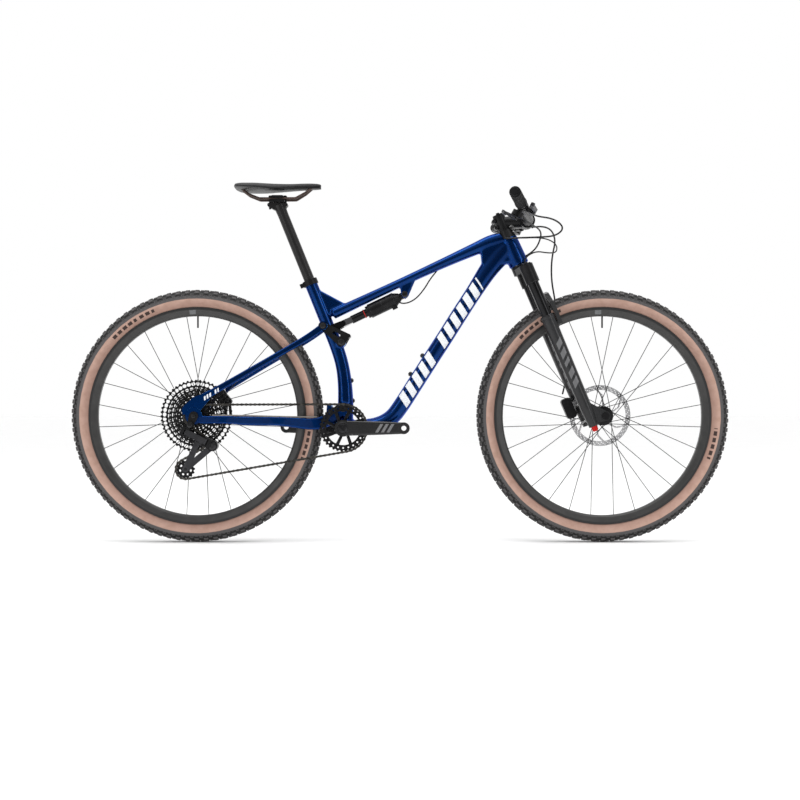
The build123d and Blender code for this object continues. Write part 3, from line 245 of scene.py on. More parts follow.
def newFinish(name):
    finish = bpy.data.materials.new(name)
    finish.use_nodes = True
    return finish, finish.node_tree.nodes, finish.node_tree.links, \
        finish.node_tree.nodes["Principled BSDF"]


def noiseNode(tree, scale, detail=4.0, rough=0.55, stretch=None):
    coords = tree.nodes.new("ShaderNodeTexCoord")
    noise = tree.nodes.new("ShaderNodeTexNoise")
    noise.inputs["Scale"].default_value = scale
    noise.inputs["Detail"].default_value = detail
    noise.inputs["Roughness"].default_value = rough
    if stretch:
        mapping = tree.nodes.new("ShaderNodeMapping")
        mapping.inputs["Scale"].default_value = stretch
        tree.links.new(coords.outputs["Object"], mapping.inputs["Vector"])
        tree.links.new(mapping.outputs["Vector"], noise.inputs["Vector"])
    else:
        tree.links.new(coords.outputs["Object"], noise.inputs["Vector"])
    return noise


def ramp(tree, source, stops):
    node = tree.nodes.new("ShaderNodeValToRGB")
    elements = node.color_ramp.elements
    while len(elements) < len(stops):
        elements.new(0.5)
    for element, (place, colour) in zip(elements, stops):
        element.position = place
        element.color = (*colour, 1)
    tree.links.new(source, node.inputs["Fac"])
    return node


def sums(tree, kind, first, second=0.0, third=0.0):
    node = tree.nodes.new("ShaderNodeMath")
    node.operation = kind
    for socket, value in zip(node.inputs, (first, second, third)):
        if isinstance(value, (int, float)):
            socket.default_value = value
        else:
            tree.links.new(value, socket)
    return node.outputs[0]


def mixColours(tree, mask, below, above):
    node = tree.nodes.new("ShaderNodeMix")
    node.data_type = "RGBA"
    tree.links.new(mask, node.inputs["Factor"])
    for socket, value in ((node.inputs[6], below), (node.inputs[7], above)):
        if isinstance(value, tuple):
            socket.default_value = (*value, 1)
        else:
            tree.links.new(value, socket)
    return node.outputs[2]


def roughnessFrom(tree, shader, noise, low, high):
    spread = tree.nodes.new("ShaderNodeMapRange")
    spread.inputs["From Min"].default_value = 0.3
    spread.inputs["From Max"].default_value = 0.7
    spread.inputs["To Min"].default_value = low
    spread.inputs["To Max"].default_value = high
    tree.links.new(noise.outputs["Fac"], spread.inputs["Value"])
    tree.links.new(spread.outputs["Result"], shader.inputs["Roughness"])


def bumpFrom(tree, shader, height, strength, distance):
    bump = tree.nodes.new("ShaderNodeBump")
    bump.inputs["Strength"].default_value = strength
    bump.inputs["Distance"].default_value = distance
    tree.links.new(height, bump.inputs["Height"])
    tree.links.new(bump.outputs["Normal"], shader.inputs["Normal"])


def bandMask(tree, mark):  # slanted blocks along a line in the bike's side view, on both sides
    coords = tree.nodes.new("ShaderNodeTexCoord")
    split = tree.nodes.new("ShaderNodeSeparateXYZ")
    tree.links.new(coords.outputs["Object"], split.inputs["Vector"])
    (x0, z0), (x1, z1) = mark["start"], mark["end"]
    length = math.hypot(x1 - x0, z1 - z0)
    dx, dz = (x1 - x0) / length, (z1 - z0) / length
    x = sums(tree, "SUBTRACT", split.outputs["X"], x0)
    z = sums(tree, "SUBTRACT", split.outputs["Z"], z0)
    along = sums(tree, "MULTIPLY_ADD", z, dz, sums(tree, "MULTIPLY", x, dx))
    across = sums(tree, "MULTIPLY_ADD", z, dx, sums(tree, "MULTIPLY", x, -dz))
    inside = sums(tree, "LESS_THAN", sums(tree, "ABSOLUTE", across), mark["half"])
    slanted = sums(tree, "MULTIPLY_ADD", across, -mark["slant"], along)
    within = sums(tree, "MULTIPLY", sums(tree, "GREATER_THAN", slanted, 0.0),
                  sums(tree, "LESS_THAN", slanted, length))
    share = sums(tree, "FRACT", sums(tree, "DIVIDE", slanted, mark["pitch"]))
    block = sums(tree, "LESS_THAN", share, mark["duty"])
    gap = sums(tree, "COMPARE", slanted, mark["gapAt"], mark["gapHalf"])
    block = sums(tree, "MULTIPLY", block, sums(tree, "SUBTRACT", 1.0, gap))
    return sums(tree, "MULTIPLY", sums(tree, "MULTIPLY", inside, within), block)


def plainFinish(name, look):
    finish, _, links, shader = newFinish(name)
    tree = finish.node_tree
    noise = noiseNode(tree, look.get("patch", 18), stretch=look.get("stretch"))
    colour = ramp(tree, noise.outputs["Fac"],
                  [(0.35, look["dark"]), (0.68, look["light"])]).outputs["Color"]
    for mark in look.get("marks", ()):
        colour = mixColours(tree, bandMask(tree, mark), colour, mark["colour"])
    links.new(colour, shader.inputs["Base Color"])
    fine = noiseNode(tree, look.get("grain", 900), detail=3, stretch=look.get("grainStretch"))
    roughnessFrom(tree, shader, fine, *look["rough"])
    bumpFrom(tree, shader, fine.outputs["Fac"], look.get("bump", 0.08), look.get("depth", 0.0002))
    metal = look.get("metal", 0.0)
    if look.get("marks") and metal:
        inked = 0.0
        for mark in look["marks"]:
            inked = sums(tree, "MAXIMUM", bandMask(tree, mark), inked)
        links.new(sums(tree, "MULTIPLY_ADD", inked, -metal, metal), shader.inputs["Metallic"])
    else:
        shader.inputs["Metallic"].default_value = metal
    shader.inputs["Specular Tint"].default_value = look.get("edgeTint", (1, 1, 1, 1))
    shader.inputs["Sheen Weight"].default_value = look.get("sheen", 0.0)
    shader.inputs["Sheen Tint"].default_value = look.get("sheenTint", (1, 1, 1, 1))
    shader.inputs["Sheen Roughness"].default_value = look.get("sheenRough", 0.5)
    shader.inputs["Coat Weight"].default_value = look.get("coat", 0.0)
    shader.inputs["Coat Roughness"].default_value = look.get("coatRough", 0.05)
    shader.inputs["Coat IOR"].default_value = 1.4
    shader.inputs["IOR"].default_value = look.get("ior", 1.3)
    return finish


downTubeMark = {"start": (0.008, 0.408), "end": (0.232, 0.755), "half": 0.0185, "slant": 0.45,
                "pitch": 0.034, "duty": 0.64, "gapAt": 0.184, "gapHalf": 0.014,
                "colour": (0.8, 0.82, 0.84)}
stayMark = {"start": (-0.562, 0.418), "end": (-0.520, 0.444), "half": 0.005, "slant": 0.5,
            "pitch": 0.009, "duty": 0.6, "gapAt": 0.03, "gapHalf": 0.003,
            "colour": (0.8, 0.82, 0.85)}
crankMark = {"start": (-0.064, 0.333), "end": (-0.016, 0.333), "half": 0.012, "slant": 0.6,
             "pitch": 0.016, "duty": 0.55, "gapAt": 0.03, "gapHalf": 0.0,
             "colour": (0.16, 0.16, 0.165)}
forkMark = {"start": (0.508, 0.457), "end": (0.452, 0.589), "half": 0.009, "slant": -0.9,
            "pitch": 0.03, "duty": 0.66, "gapAt": 0.06, "gapHalf": 0.006,
            "colour": (0.13, 0.13, 0.135)}
looks = {
    "framePaint": {"dark": (0.0001, 0.019, 0.105), "light": (0.0002, 0.028, 0.14), "patch": 6,
                   "sheen": 0.5, "sheenTint": (0.12, 0.42, 1, 1), "sheenRough": 0.3,
                   "rough": (0.2, 0.27), "grain": 2600, "bump": 0.02, "metal": 0.95,
                   "coat": 0.25, "coatRough": 0.02, "edgeTint": (0.08, 0.4, 1, 1), "marks": [downTubeMark, stayMark]},
    "anodisedBlack": {"dark": (0.006, 0.006, 0.0065), "light": (0.012, 0.012, 0.013), "patch": 30,
                      "rough": (0.3, 0.42), "metal": 0.35, "bump": 0.06},
    "forgedGrey": {"dark": (0.035, 0.035, 0.038), "light": (0.06, 0.06, 0.064), "patch": 30,
                   "rough": (0.28, 0.4), "metal": 0.8, "bump": 0.05},
    "carbonSatin": {"dark": (0.006, 0.0055, 0.006), "light": (0.012, 0.011, 0.0115), "patch": 14,
                    "rough": (0.34, 0.46), "grain": 700, "bump": 0.04, "coat": 0.25,
                    "coatRough": 0.25},
    "crankCarbon": {"dark": (0.006, 0.006, 0.0062), "light": (0.012, 0.012, 0.0125), "patch": 20,
                    "rough": (0.22, 0.32), "bump": 0.03, "coat": 0.5, "coatRough": 0.15,
                    "marks": [crankMark]},
    "forkPaint": {"dark": (0.013, 0.0132, 0.014), "light": (0.019, 0.0195, 0.021), "patch": 12,
                  "rough": (0.3, 0.4), "bump": 0.05, "coat": 0.4, "coatRough": 0.2,
                  "marks": [forkMark]},
    "stanchionBlack": {"dark": (0.012, 0.012, 0.013), "light": (0.02, 0.02, 0.021), "patch": 8,
                       "rough": (0.09, 0.16), "metal": 0.7, "bump": 0.01},
    "rotorSteel": {"dark": (0.42, 0.42, 0.43), "light": (0.6, 0.6, 0.61), "patch": 60,
                   "rough": (0.2, 0.36), "metal": 1.0, "bump": 0.12, "grain": 1500},
    "darkSteel": {"dark": (0.05, 0.05, 0.052), "light": (0.12, 0.118, 0.112), "patch": 120,
                  "rough": (0.25, 0.45), "metal": 0.9, "bump": 0.1},
    "chainSteel": {"dark": (0.03, 0.029, 0.027), "light": (0.11, 0.104, 0.095), "patch": 160,
                   "rough": (0.22, 0.42), "metal": 0.95, "bump": 0.08},
    "cassetteBlack": {"dark": (0.007, 0.007, 0.0075), "light": (0.022, 0.022, 0.023),
                      "patch": 140, "rough": (0.28, 0.45), "metal": 0.7, "bump": 0.08},
    "cableJacket": {"dark": (0.012, 0.012, 0.012), "light": (0.022, 0.022, 0.022), "patch": 90,
                    "rough": (0.35, 0.5), "bump": 0.05},
    "redAnodised": {"dark": (0.42, 0.012, 0.01), "light": (0.6, 0.02, 0.015), "patch": 60,
                    "rough": (0.22, 0.34), "metal": 0.6, "bump": 0.04},
    "spokeSteel": {"dark": (0.006, 0.006, 0.0062), "light": (0.014, 0.014, 0.0145), "patch": 80,
                   "rough": (0.3, 0.45), "metal": 0.3, "bump": 0.05},
    "gripRubber": {"dark": (0.012, 0.012, 0.0125), "light": (0.03, 0.03, 0.031), "patch": 120,
                   "rough": (0.7, 0.85), "bump": 0.35, "depth": 0.0004, "grain": 1400},
    "guardRubber": {"dark": (0.16, 0.145, 0.135), "light": (0.22, 0.2, 0.185), "patch": 60,
                    "rough": (0.6, 0.75), "bump": 0.3, "depth": 0.0006, "grain": 500},
    "shellPlastic": {"dark": (0.01, 0.01, 0.01), "light": (0.018, 0.018, 0.019), "patch": 40,
                     "rough": (0.32, 0.45), "bump": 0.05},
    "railBronze": {"dark": (0.04, 0.027, 0.023), "light": (0.075, 0.05, 0.043), "patch": 50,
                "rough": (0.3, 0.4), "metal": 0.3, "bump": 0.03},
    "brassPin": {"dark": (0.3, 0.27, 0.22), "light": (0.5, 0.47, 0.4), "patch": 90,
                 "rough": (0.25, 0.4), "metal": 1.0, "bump": 0.05},
    "boltBlack": {"dark": (0.02, 0.02, 0.021), "light": (0.05, 0.05, 0.053), "patch": 80,
                  "rough": (0.18, 0.3), "metal": 0.7, "bump": 0.05},
    "redRubber": {"dark": (0.35, 0.012, 0.01), "light": (0.45, 0.02, 0.016), "patch": 50,
                  "rough": (0.4, 0.5), "bump": 0.05},
    "saddleSkin": {"dark": (0.008, 0.008, 0.0085), "light": (0.016, 0.016, 0.017), "patch": 60,
                   "rough": (0.42, 0.58), "bump": 0.3, "depth": 0.0005, "grain": 1100},
    "knobRubber": {"dark": (0.007, 0.0068, 0.0065), "light": (0.018, 0.0172, 0.0165), "patch": 45,
                   "rough": (0.62, 0.8), "bump": 0.35, "depth": 0.0005, "grain": 700},
}
finishes = {name: plainFinish(name, look) for name, look in looks.items()}

wheelCentres = {"front": Vector((0.5915, 0, 0.368)), "rear": Vector((-0.5915, 0, 0.368))}


def polarParts(tree, centre):  # radius and turn about an axle, in the side view
    coords = tree.nodes.new("ShaderNodeTexCoord")
    split = tree.nodes.new("ShaderNodeSeparateXYZ")
    tree.links.new(coords.outputs["Object"], split.inputs["Vector"])
    x = sums(tree, "SUBTRACT", split.outputs["X"], centre.x)
    z = sums(tree, "SUBTRACT", split.outputs["Z"], centre.z)
    radius = sums(tree, "SQRT", sums(tree, "MULTIPLY_ADD", x, x, sums(tree, "MULTIPLY", z, z)))
    return radius, sums(tree, "ARCTAN2", z, x)


tyreLook = {"tanDark": (0.4, 0.245, 0.19), "tanLight": (0.47, 0.3, 0.24),
            "tread": (0.007, 0.0068, 0.0067), "tanEdge": 0.341, "knobLitGrey": (0.075, 0.071, 0.072), "groove": 0.35,
            "shadeFrom": 0.336, "tanRimShade": (0.2, 0.1, 0.075), "markDark": (0.03, 0.014, 0.01),
            "casing": (0.341, 0.0226, 0.0282, 2.6), "markLow": 0.326, "markHigh": 0.335, "markTurn": 2.15, "markHalf": 0.2}


def tyreFinish(end):
    finish, _, links, shader = newFinish(end + "TyreRubber")
    tree = finish.node_tree
    radius, turn = polarParts(tree, wheelCentres[end])
    patch = noiseNode(tree, 55)
    weave = noiseNode(tree, 900, detail=2)
    tan = ramp(tree, patch.outputs["Fac"], [(0.3, tyreLook["tanDark"]), (0.62, tyreLook["tanLight"])])
    band = sums(tree, "MULTIPLY", sums(tree, "GREATER_THAN", radius, tyreLook["markLow"]),
                sums(tree, "LESS_THAN", radius, tyreLook["markHigh"]))
    mark = 0.0
    for shift, half in ((-0.12, 0.075), (0.12, 0.14), (-2.4, 0.14)):
        window = sums(tree, "COMPARE", turn, tyreLook["markTurn"] + shift, half)
        mark = sums(tree, "MAXIMUM", mark, window) if mark else window
    dash = sums(tree, "LESS_THAN", sums(tree, "FRACT", sums(tree, "MULTIPLY", turn, 17.0)), 0.68)
    mask = sums(tree, "MULTIPLY", sums(tree, "MULTIPLY", band, dash), mark)
    # painted shade: the tan wall is mixed towards a darker brown nearer the rim, standing in for shade in the crease
    # between tyre and rim
    rimShadeMask = sums(tree, "MULTIPLY", sums(tree, "SUBTRACT", tyreLook["shadeFrom"], radius), 26.0)
    shaded = mixColours(tree, rimShadeMask, tan.outputs["Color"], tyreLook["tanRimShade"])
    tanMarked = mixColours(tree, mask, shaded, tyreLook["markDark"])
    edge = sums(tree, "GREATER_THAN",
                sums(tree, "MULTIPLY_ADD", patch.outputs["Fac"], 0.002, radius),
                tyreLook["tanEdge"] + 0.001)
    middle, high, wide, power = tyreLook["casing"]
    coords = tree.nodes.new("ShaderNodeTexCoord")
    split = tree.nodes.new("ShaderNodeSeparateXYZ")
    tree.links.new(coords.outputs["Object"], split.inputs["Vector"])
    # painted light and shade: knob faces and the shoulder band get a lighter grey as painted light, while the casing
    # between knobs stays near black as painted shade in the gaps
    up = sums(tree, "ABSOLUTE", sums(tree, "DIVIDE", sums(tree, "SUBTRACT", radius, middle), high))
    side = sums(tree, "ABSOLUTE", sums(tree, "DIVIDE", split.outputs["Y"], wide))
    reach = sums(tree, "ADD", sums(tree, "POWER", up, power), sums(tree, "POWER", side, power))
    knobLitMask = sums(tree, "MAXIMUM", sums(tree, "GREATER_THAN", reach, 1.13),
                  sums(tree, "LESS_THAN", radius, tyreLook["groove"]))
    tread = mixColours(tree, knobLitMask, tyreLook["tread"], tyreLook["knobLitGrey"])
    colour = mixColours(tree, edge, tanMarked, tread)
    links.new(colour, shader.inputs["Base Color"])
    roughnessFrom(tree, shader, weave, 0.6, 0.8)
    bumpFrom(tree, shader, weave.outputs["Fac"], 0.25, 0.0004)
    return finish


rimLook = {"dark": (0.016, 0.0155, 0.015), "light": (0.026, 0.025, 0.0245),
           "sticker": (0.12, 0.125, 0.13), "low": 0.2965, "high": 0.3085, "turn": 0.03,
           "lip": 0.3105, "lipCreaseShade": (0.004, 0.004, 0.004)}


def rimFinish(end):
    finish, _, links, shader = newFinish(end + "RimCarbon")
    tree = finish.node_tree
    radius, turn = polarParts(tree, wheelCentres[end])
    patch = noiseNode(tree, 30)
    base = ramp(tree, patch.outputs["Fac"], [(0.35, rimLook["dark"]), (0.65, rimLook["light"])])
    band = sums(tree, "MULTIPLY", sums(tree, "GREATER_THAN", radius, rimLook["low"]),
                sums(tree, "LESS_THAN", radius, rimLook["high"]))
    sticker = sums(tree, "COMPARE", turn, math.pi / 2 + 0.045, rimLook["turn"])
    colour = mixColours(tree, sums(tree, "MULTIPLY", band, sticker), base.outputs["Color"],
                        rimLook["sticker"])
    # painted shade: beyond the lip radius the rim turns near black, standing in for shade in the crease where the
    # tyre meets the rim
    colour = mixColours(tree, sums(tree, "GREATER_THAN", radius, rimLook["lip"]), colour,
                        rimLook["lipCreaseShade"])
    links.new(colour, shader.inputs["Base Color"])
    fine = noiseNode(tree, 600)
    roughnessFrom(tree, shader, fine, 0.38, 0.52)
    bumpFrom(tree, shader, fine.outputs["Fac"], 0.05, 0.0002)
    shader.inputs["Coat Weight"].default_value = 0.15
    shader.inputs["Coat Roughness"].default_value = 0.3
    return finish


for end in wheelCentres:
    finishes[end + "Tyre"] = tyreFinish(end)
    finishes[end + "Rim"] = rimFinish(end)

cadFinishes = {
    "framePaint": ["main_frame", "chainstays", "seatstays"],
    "anodisedBlack": ["seat_collar", "bottom_bracket_cups", "fork_crown", "stem",
                      "stem_faceplate", "headset_spacers", "lever_bodies", "control_pods",
                      "front_caliper", "rear_caliper", "front_thru_axle", "rear_thru_axle",
                      "front_hub", "rear_hub", "rocker_link", "derailleur_hanger",
                      "derailleur_b_knuckle", "derailleur_p_knuckle", "shock_can", "rail_clamp"],
    "forgedGrey": ["right_brake_blade", "left_brake_blade", "shift_paddle_large",
                   "shift_paddle_small", "lockout_lever", "derailleur_outer_link",
                   "derailleur_inner_link", "derailleur_cage"],
    "carbonSatin": ["handlebar", "seatpost"],
    "crankCarbon": ["crank_right_arm", "crank_left_arm"],
    "forkPaint": ["fork_lowers"],
    "stanchionBlack": ["stanchions", "shock_shaft"],
    "rotorSteel": ["headset_bearings"],
    "redAnodised": ["rebound_knob"],
    "railBronze": ["saddle_rails"],
    "spokeSteel": ["front_spokes", "rear_spokes"],
    "guardRubber": ["chainstay_guard"],
    "frontRim": ["front_rim"],
    "rearRim": ["rear_rim"],
}
for name, covered in cadFinishes.items():
    for node in covered:
        nodes[node].data.materials.clear()
        nodes[node].data.materials.append(finishes[name])
print("finishes made:", len(bpy.data.materials))

# ---- camera, floor and light

studio = {"distance": 4.0, "height": 0.414, "viewWidth": 2.342, "floorSize": 60.0,
          "floor": (0.9, 0.9, 0.9), "behindCamera": 0.1, "sun": 0.6}
cameraData = bpy.data.cameras.new("camera")
camera = bpy.data.objects.new("camera", cameraData)
bpy.context.scene.collection.objects.link(camera)
cameraData.sensor_width = 36
cameraData.lens = 36 * studio["distance"] / studio["viewWidth"]
camera.location = (0, -studio["distance"], studio["height"])
camera.rotation_euler = (math.pi / 2, 0, 0)
bpy.context.scene.camera = camera

deselectAll()
bpy.ops.mesh.primitive_plane_add(size=studio["floorSize"], location=(0, 0, -0.0005))
floor = bpy.context.object
floor.name = "floor"
floorFinish, _, floorLinks, floorShader = newFinish("floorPaint")
floorNoise = noiseNode(floorFinish.node_tree, 3)
floorRamp = ramp(floorFinish.node_tree, floorNoise.outputs["Fac"],
                 [(0.3, studio["floor"]), (0.7, tuple(v * 1.02 for v in studio["floor"]))])
floorLinks.new(floorRamp.outputs["Color"], floorShader.inputs["Base Color"])
floorShader.inputs["Roughness"].default_value = 0.7
floor.data.materials.append(floorFinish)

world = bpy.data.worlds.new("studio")
bpy.context.scene.world = world
world.use_nodes = True
worldTree = world.node_tree
worldCoords = worldTree.nodes.new("ShaderNodeTexCoord")
worldSplit = worldTree.nodes.new("ShaderNodeSeparateXYZ")
worldTree.links.new(worldCoords.outputs["Generated"], worldSplit.inputs["Vector"])
share = sums(worldTree, "MULTIPLY_ADD", worldSplit.outputs["Y"], 0.5, 0.5)
lift = sums(worldTree, "MAXIMUM", share, worldSplit.outputs["Z"])
glow = worldTree.nodes.new("ShaderNodeMapRange")
glow.inputs["From Min"].default_value = 0.1
glow.inputs["From Max"].default_value = 0.75
glow.inputs["To Min"].default_value = studio["behindCamera"]
glow.inputs["To Max"].default_value = 1.0
worldTree.links.new(lift, glow.inputs["Value"])
seen = worldTree.nodes.new("ShaderNodeLightPath")
strength = sums(worldTree, "MAXIMUM", glow.outputs["Result"], seen.outputs["Is Camera Ray"])
backdrop = worldTree.nodes["Background"]
backdrop.inputs["Color"].default_value = (1, 1, 1, 1)
worldTree.links.new(strength, backdrop.inputs["Strength"])
bpy.context.scene.view_settings.view_transform = "Standard"


def addLight(name, place, aim, size, power):
    data = bpy.data.lights.new(name, "AREA")
    data.shape = "RECTANGLE"
    data.size, data.size_y = size
    data.energy = power
    lamp = bpy.data.objects.new(name, data)
    bpy.context.scene.collection.objects.link(lamp)
    lamp.location = place
    lamp.rotation_euler = (Vector(aim) - Vector(place)).to_track_quat("-Z", "Y").to_euler()


sunData = bpy.data.lights.new("softSky", "SUN")
sunData.energy = studio["sun"]
sunData.angle = math.radians(70)
softSky = bpy.data.objects.new("softSky", sunData)
bpy.context.scene.collection.objects.link(softSky)
addLight("overheadBox", (0, -0.4, 3.2), (0, 0, 0.4), (3.6, 1.6), 55)
addLight("frontLeftBox", (-2.6, -2.6, 1.5), (0, 0, 0.5), (0.8, 2.2), 20)
addLight("frontRightBox", (2.6, -2.6, 1.5), (0, 0, 0.5), (0.8, 2.2), 20)
print("camera and light set")

# ---- hoses and cables

cordPlans = {
    "frontBrakeHose": {
        "radius": 2.5, "length": 0.645, "blend": ("steering", "fork_lower"),
        "from": (0.452, 0.08, 0.86), "to": (0.478, 0.08, 0.63), "replaces": "front_control_lines",
        "route": [(373.3, 160.5, 937.7), (379.4, 131.5, 935.1), (442, 78, 934), (462, 40, 892),
                  (448, 40, 832), (450, 64, 770), (464, 88, 712), (472, 100, 650),
                  (486, 101, 580), (496, 97, 510), (494, 84, 462), (484, 70, 432)]},
    "forkRemoteCable": {
        "radius": 2.0, "length": 0.390, "body": "steering", "replaces": "front_control_lines",
        "route": [(347.9, 206.4, 915.0), (360.5, 180.2, 908.6), (430, 112, 904), (466, 66, 880),
                  (462, 20, 848), (432, -18, 842), (392, -40, 846), (358, -33, 824),
                  (363.2, -30, 806.3)]},
    "rearBrakeHose": {
        "radius": 2.5, "length": 0.335, "blend": ("frame", "steering"),
        "from": (0.306, -0.027, 0.884), "to": (0.43, -0.027, 0.884),
        "replaces": "rear_control_lines",
        "route": [(373.3, -160.5, 937.7), (379.4, -131.5, 935.1), (442, -84, 934),
                  (476, -50, 912), (452, -40, 889), (396, -46, 885), (348, -42, 884),
                  (306, -27, 884)]},
    "shiftCable": {
        "radius": 2.3, "length": 0.243, "blend": ("frame", "steering"),
        "from": (0.37, -0.03, 0.83), "to": (0.37, -0.12, 0.93), "replaces": "rear_control_lines",
        "route": [(347.9, -206.4, 915.0), (360.5, -180.2, 908.6), (408, -80, 900),
                  (402, -46, 866), (386, -30, 844), (364, -25, 832)]},
    "shockRemoteCable": {
        "radius": 2.0, "length": 0.169, "body": "frame", "slot": "rear_control_lines",
        "route": [(112, 0, 797), (98, -2, 780), (86, -4, 764), (72, -5, 740), (51, -6, 714),
                  (30, -6, 700), (12, -5, 696), (0, -4, 698), (-9, -3, 704)]},
}


def routeCurve(name, plan, bevel):
    data = bpy.data.curves.new(name, "CURVE")
    data.dimensions = "3D"
    data.resolution_u = 10
    data.bevel_depth = bevel
    data.bevel_resolution = 4
    data.use_fill_caps = bevel > 0
    spline = data.splines.new("NURBS")
    spline.points.add(len(plan["route"]) - 1)
    for point, place in zip(spline.points, plan["route"]):
        point.co = (*(Vector(place) * mm), 1)
    spline.order_u = 3
    spline.use_endpoint_u = True
    piece = bpy.data.objects.new(name, data)
    bpy.context.scene.collection.objects.link(piece)
    return piece


def routeLine(name, plan):  # the centre line that the spline makes
    bare = routeCurve(name + "Line", plan, 0)
    graph = bpy.context.evaluated_depsgraph_get()
    mesh = bpy.data.meshes.new_from_object(bare.evaluated_get(graph))
    line = [vert.co.copy() for vert in mesh.vertices]
    bpy.data.meshes.remove(mesh)
    bpy.data.objects.remove(bare)
    return line


for name, plan in cordPlans.items():
    exitPoint = Vector(plan["route"][0]) * mm
    hose = routeCurve(name, plan, plan["radius"] * mm)
    if "body" in plan:
        hose.data.materials.append(finishes["cableJacket"])
        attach(hose, plan["body"])
    else:
        pick(hose)
        bpy.ops.object.convert(target="MESH")
        hose = bpy.context.object
        bpy.ops.object.shade_smooth_by_angle(angle=math.radians(50))
        hose.data.materials.clear()
        hose.data.materials.append(finishes["cableJacket"])
        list(plan["blend"])
        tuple(plan["from"])
        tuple(plan["to"])
        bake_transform(hose)
        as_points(routeLine(name, plan))
    if "replaces" in plan:
        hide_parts(plan["replaces"])
    plan.get("replaces", plan.get("slot"))
print("cables routed")
# ---- tyres with moulded blocks

tyreShape = {
    "outline": [(-12.3, 309.3), (-12.3, 317.6), (-19.5, 324), (-25.8, 333), (-28.2, 343),
                (-27.4, 351), (-23.6, 357.6), (-14.5, 362), (0, 363.6), (14.5, 362),
                (23.6, 357.6), (27.4, 351), (28.2, 343), (25.8, 333), (19.5, 324),
                (12.3, 317.6), (12.3, 309.3), (9, 309.3), (9, 318), (21, 332), (24, 345),
                (18, 355), (0, 358.6), (-18, 355), (-24, 345), (-21, 332), (-9, 318),
                (-9, 309.3), (-12.3, 309.3)],
    "steps": 120,
    "pitches": 82,
    "rows": [  # across, radius, (along, wide, high), tilt in degrees, share of a pitch
        {"across": 5.4, "radius": 365.4, "size": (14.0, 8.6, 4.8), "tilt": 0, "phase": 0.0},
        {"across": 14.6, "radius": 362.2, "size": (11.0, 7.0, 5.0), "tilt": 14, "phase": 0.5},
        {"across": 22.6, "radius": 358.2, "size": (14.5, 7.2, 6.8), "tilt": 40, "phase": 0.0},
        {"across": 26.9, "radius": 351.6, "size": (10.0, 6.4, 3.4), "tilt": 72, "phase": 0.5},
        {"across": 27.4, "radius": 350.2, "size": (7.0, 3.4, 3.0), "tilt": 80, "phase": 0.0},
    ],
    "taper": 0.8, "sipeInset": 1.6, "sipeDepth": 0.8,
}


def tyreBlocks(row, side, centre):
    deselectAll()
    bpy.ops.mesh.primitive_cube_add(size=1, location=centre)
    block = bpy.context.object
    openMesh()
    bpy.ops.transform.resize(value=[v * mm for v in row["size"]])
    selectFaces(block, lambda face: face.normal.z > 0.9)
    bpy.ops.transform.resize(value=(tyreShape["taper"], tyreShape["taper"], 1))
    bpy.ops.mesh.inset(thickness=tyreShape["sipeInset"] * mm, depth=-tyreShape["sipeDepth"] * mm)
    bpy.ops.mesh.select_all(action="SELECT")
    turnSelection(-side * math.radians(row["tilt"]), "X", centre)
    bpy.ops.transform.translate(value=(0, side * row["across"] * mm, row["radius"] * mm))
    closeMesh()
    repeatRound(block, centre, tyreShape["pitches"])
    shift = row["phase"] + (0.5 if side > 0 and row["across"] < 10 else 0.0)
    block.rotation_euler = (0, shift * 2 * math.pi / tyreShape["pitches"], 0)
    return settle(block, 30)


for end, centre in wheelCentres.items():
    pieces = [settle(revolve(end + "TyreCasing", tyreShape["outline"], centre,
                             tyreShape["steps"]), 50)]
    for row in tyreShape["rows"]:
        for side in (-1, 1):
            pieces.append(tyreBlocks(row, side, centre))
    tyre = join(end + "TyreWithBlocks", pieces)
    ride(tyre, end + "_wheel", finishes[end + "Tyre"], end + "_tyre", [end + "_tyre"])
print("tyres made")

# ---- sprockets

pinPitch = 12.7 * mm


def pitchRadius(teeth):
    return teeth * pinPitch / (2 * math.pi)


def toothedRing(name, centre, teeth, thick, inner, toothHigh=4.1):  # ring in the side view
    root = pitchRadius(teeth) - 4.2 * mm
    tip = root + toothHigh * mm
    place = Vector(centre)
    deselectAll()
    bpy.ops.mesh.primitive_circle_add(vertices=4 * teeth, radius=root, location=place,
                                      rotation=(math.pi / 2, 0, 0))
    piece = bpy.context.object
    openMesh()
    bpy.ops.mesh.extrude_edges_move()
    bpy.ops.transform.resize(value=(inner / root, inner / root, inner / root),
                             center_override=place)
    def isTip(vert):
        if vert.co.length < root - 0.0001:
            return False
        turn = math.atan2(vert.co.y, vert.co.x) / (2 * math.pi) * 4 * teeth
        return round(turn) % 4 in (0, 1)

    selectVerts(piece, isTip)
    bpy.ops.transform.resize(value=(tip / root, tip / root, tip / root), center_override=place)
    mendNormals()
    closeMesh()
    addModifier(piece, "SOLIDIFY", thickness=thick, offset=0)
    applyModifiers(piece)
    bpy.ops.object.transform_apply(location=False, rotation=True, scale=True)
    piece.name = name
    return piece


def drill(piece, centre, radius, holeRadius, count, phase=0.0, depth=0.012, sides=10,
          stretch=1.0):
    deselectAll()
    bpy.ops.mesh.primitive_cylinder_add(vertices=sides, radius=holeRadius, depth=depth,
                                        location=centre, rotation=(math.pi / 2, 0, 0))
    cutter = bpy.context.object
    bpy.ops.object.transform_apply(location=False, rotation=True, scale=True)
    openMesh()
    bpy.ops.transform.resize(value=(stretch, 1, 1))
    bpy.ops.transform.translate(value=(0, 0, radius))
    closeMesh()
    repeatRound(cutter, centre, count)
    cutter.rotation_euler = (0, phase * 2 * math.pi / count, 0)
    pick(cutter)
    bpy.ops.object.transform_apply(location=False, rotation=True, scale=True)
    addModifier(piece, "BOOLEAN", object=cutter, operation="DIFFERENCE", solver="EXACT")
    applyModifiers(piece)
    bpy.data.objects.remove(cutter)


cassetteShape = {"teeth": (10, 12, 14, 16, 18, 21, 24, 28, 32, 38, 44, 52), "spacing": 3.6,
                 "chainLine": 56.5, "chainCog": 3, "thick": 1.7, "web": 5.0}


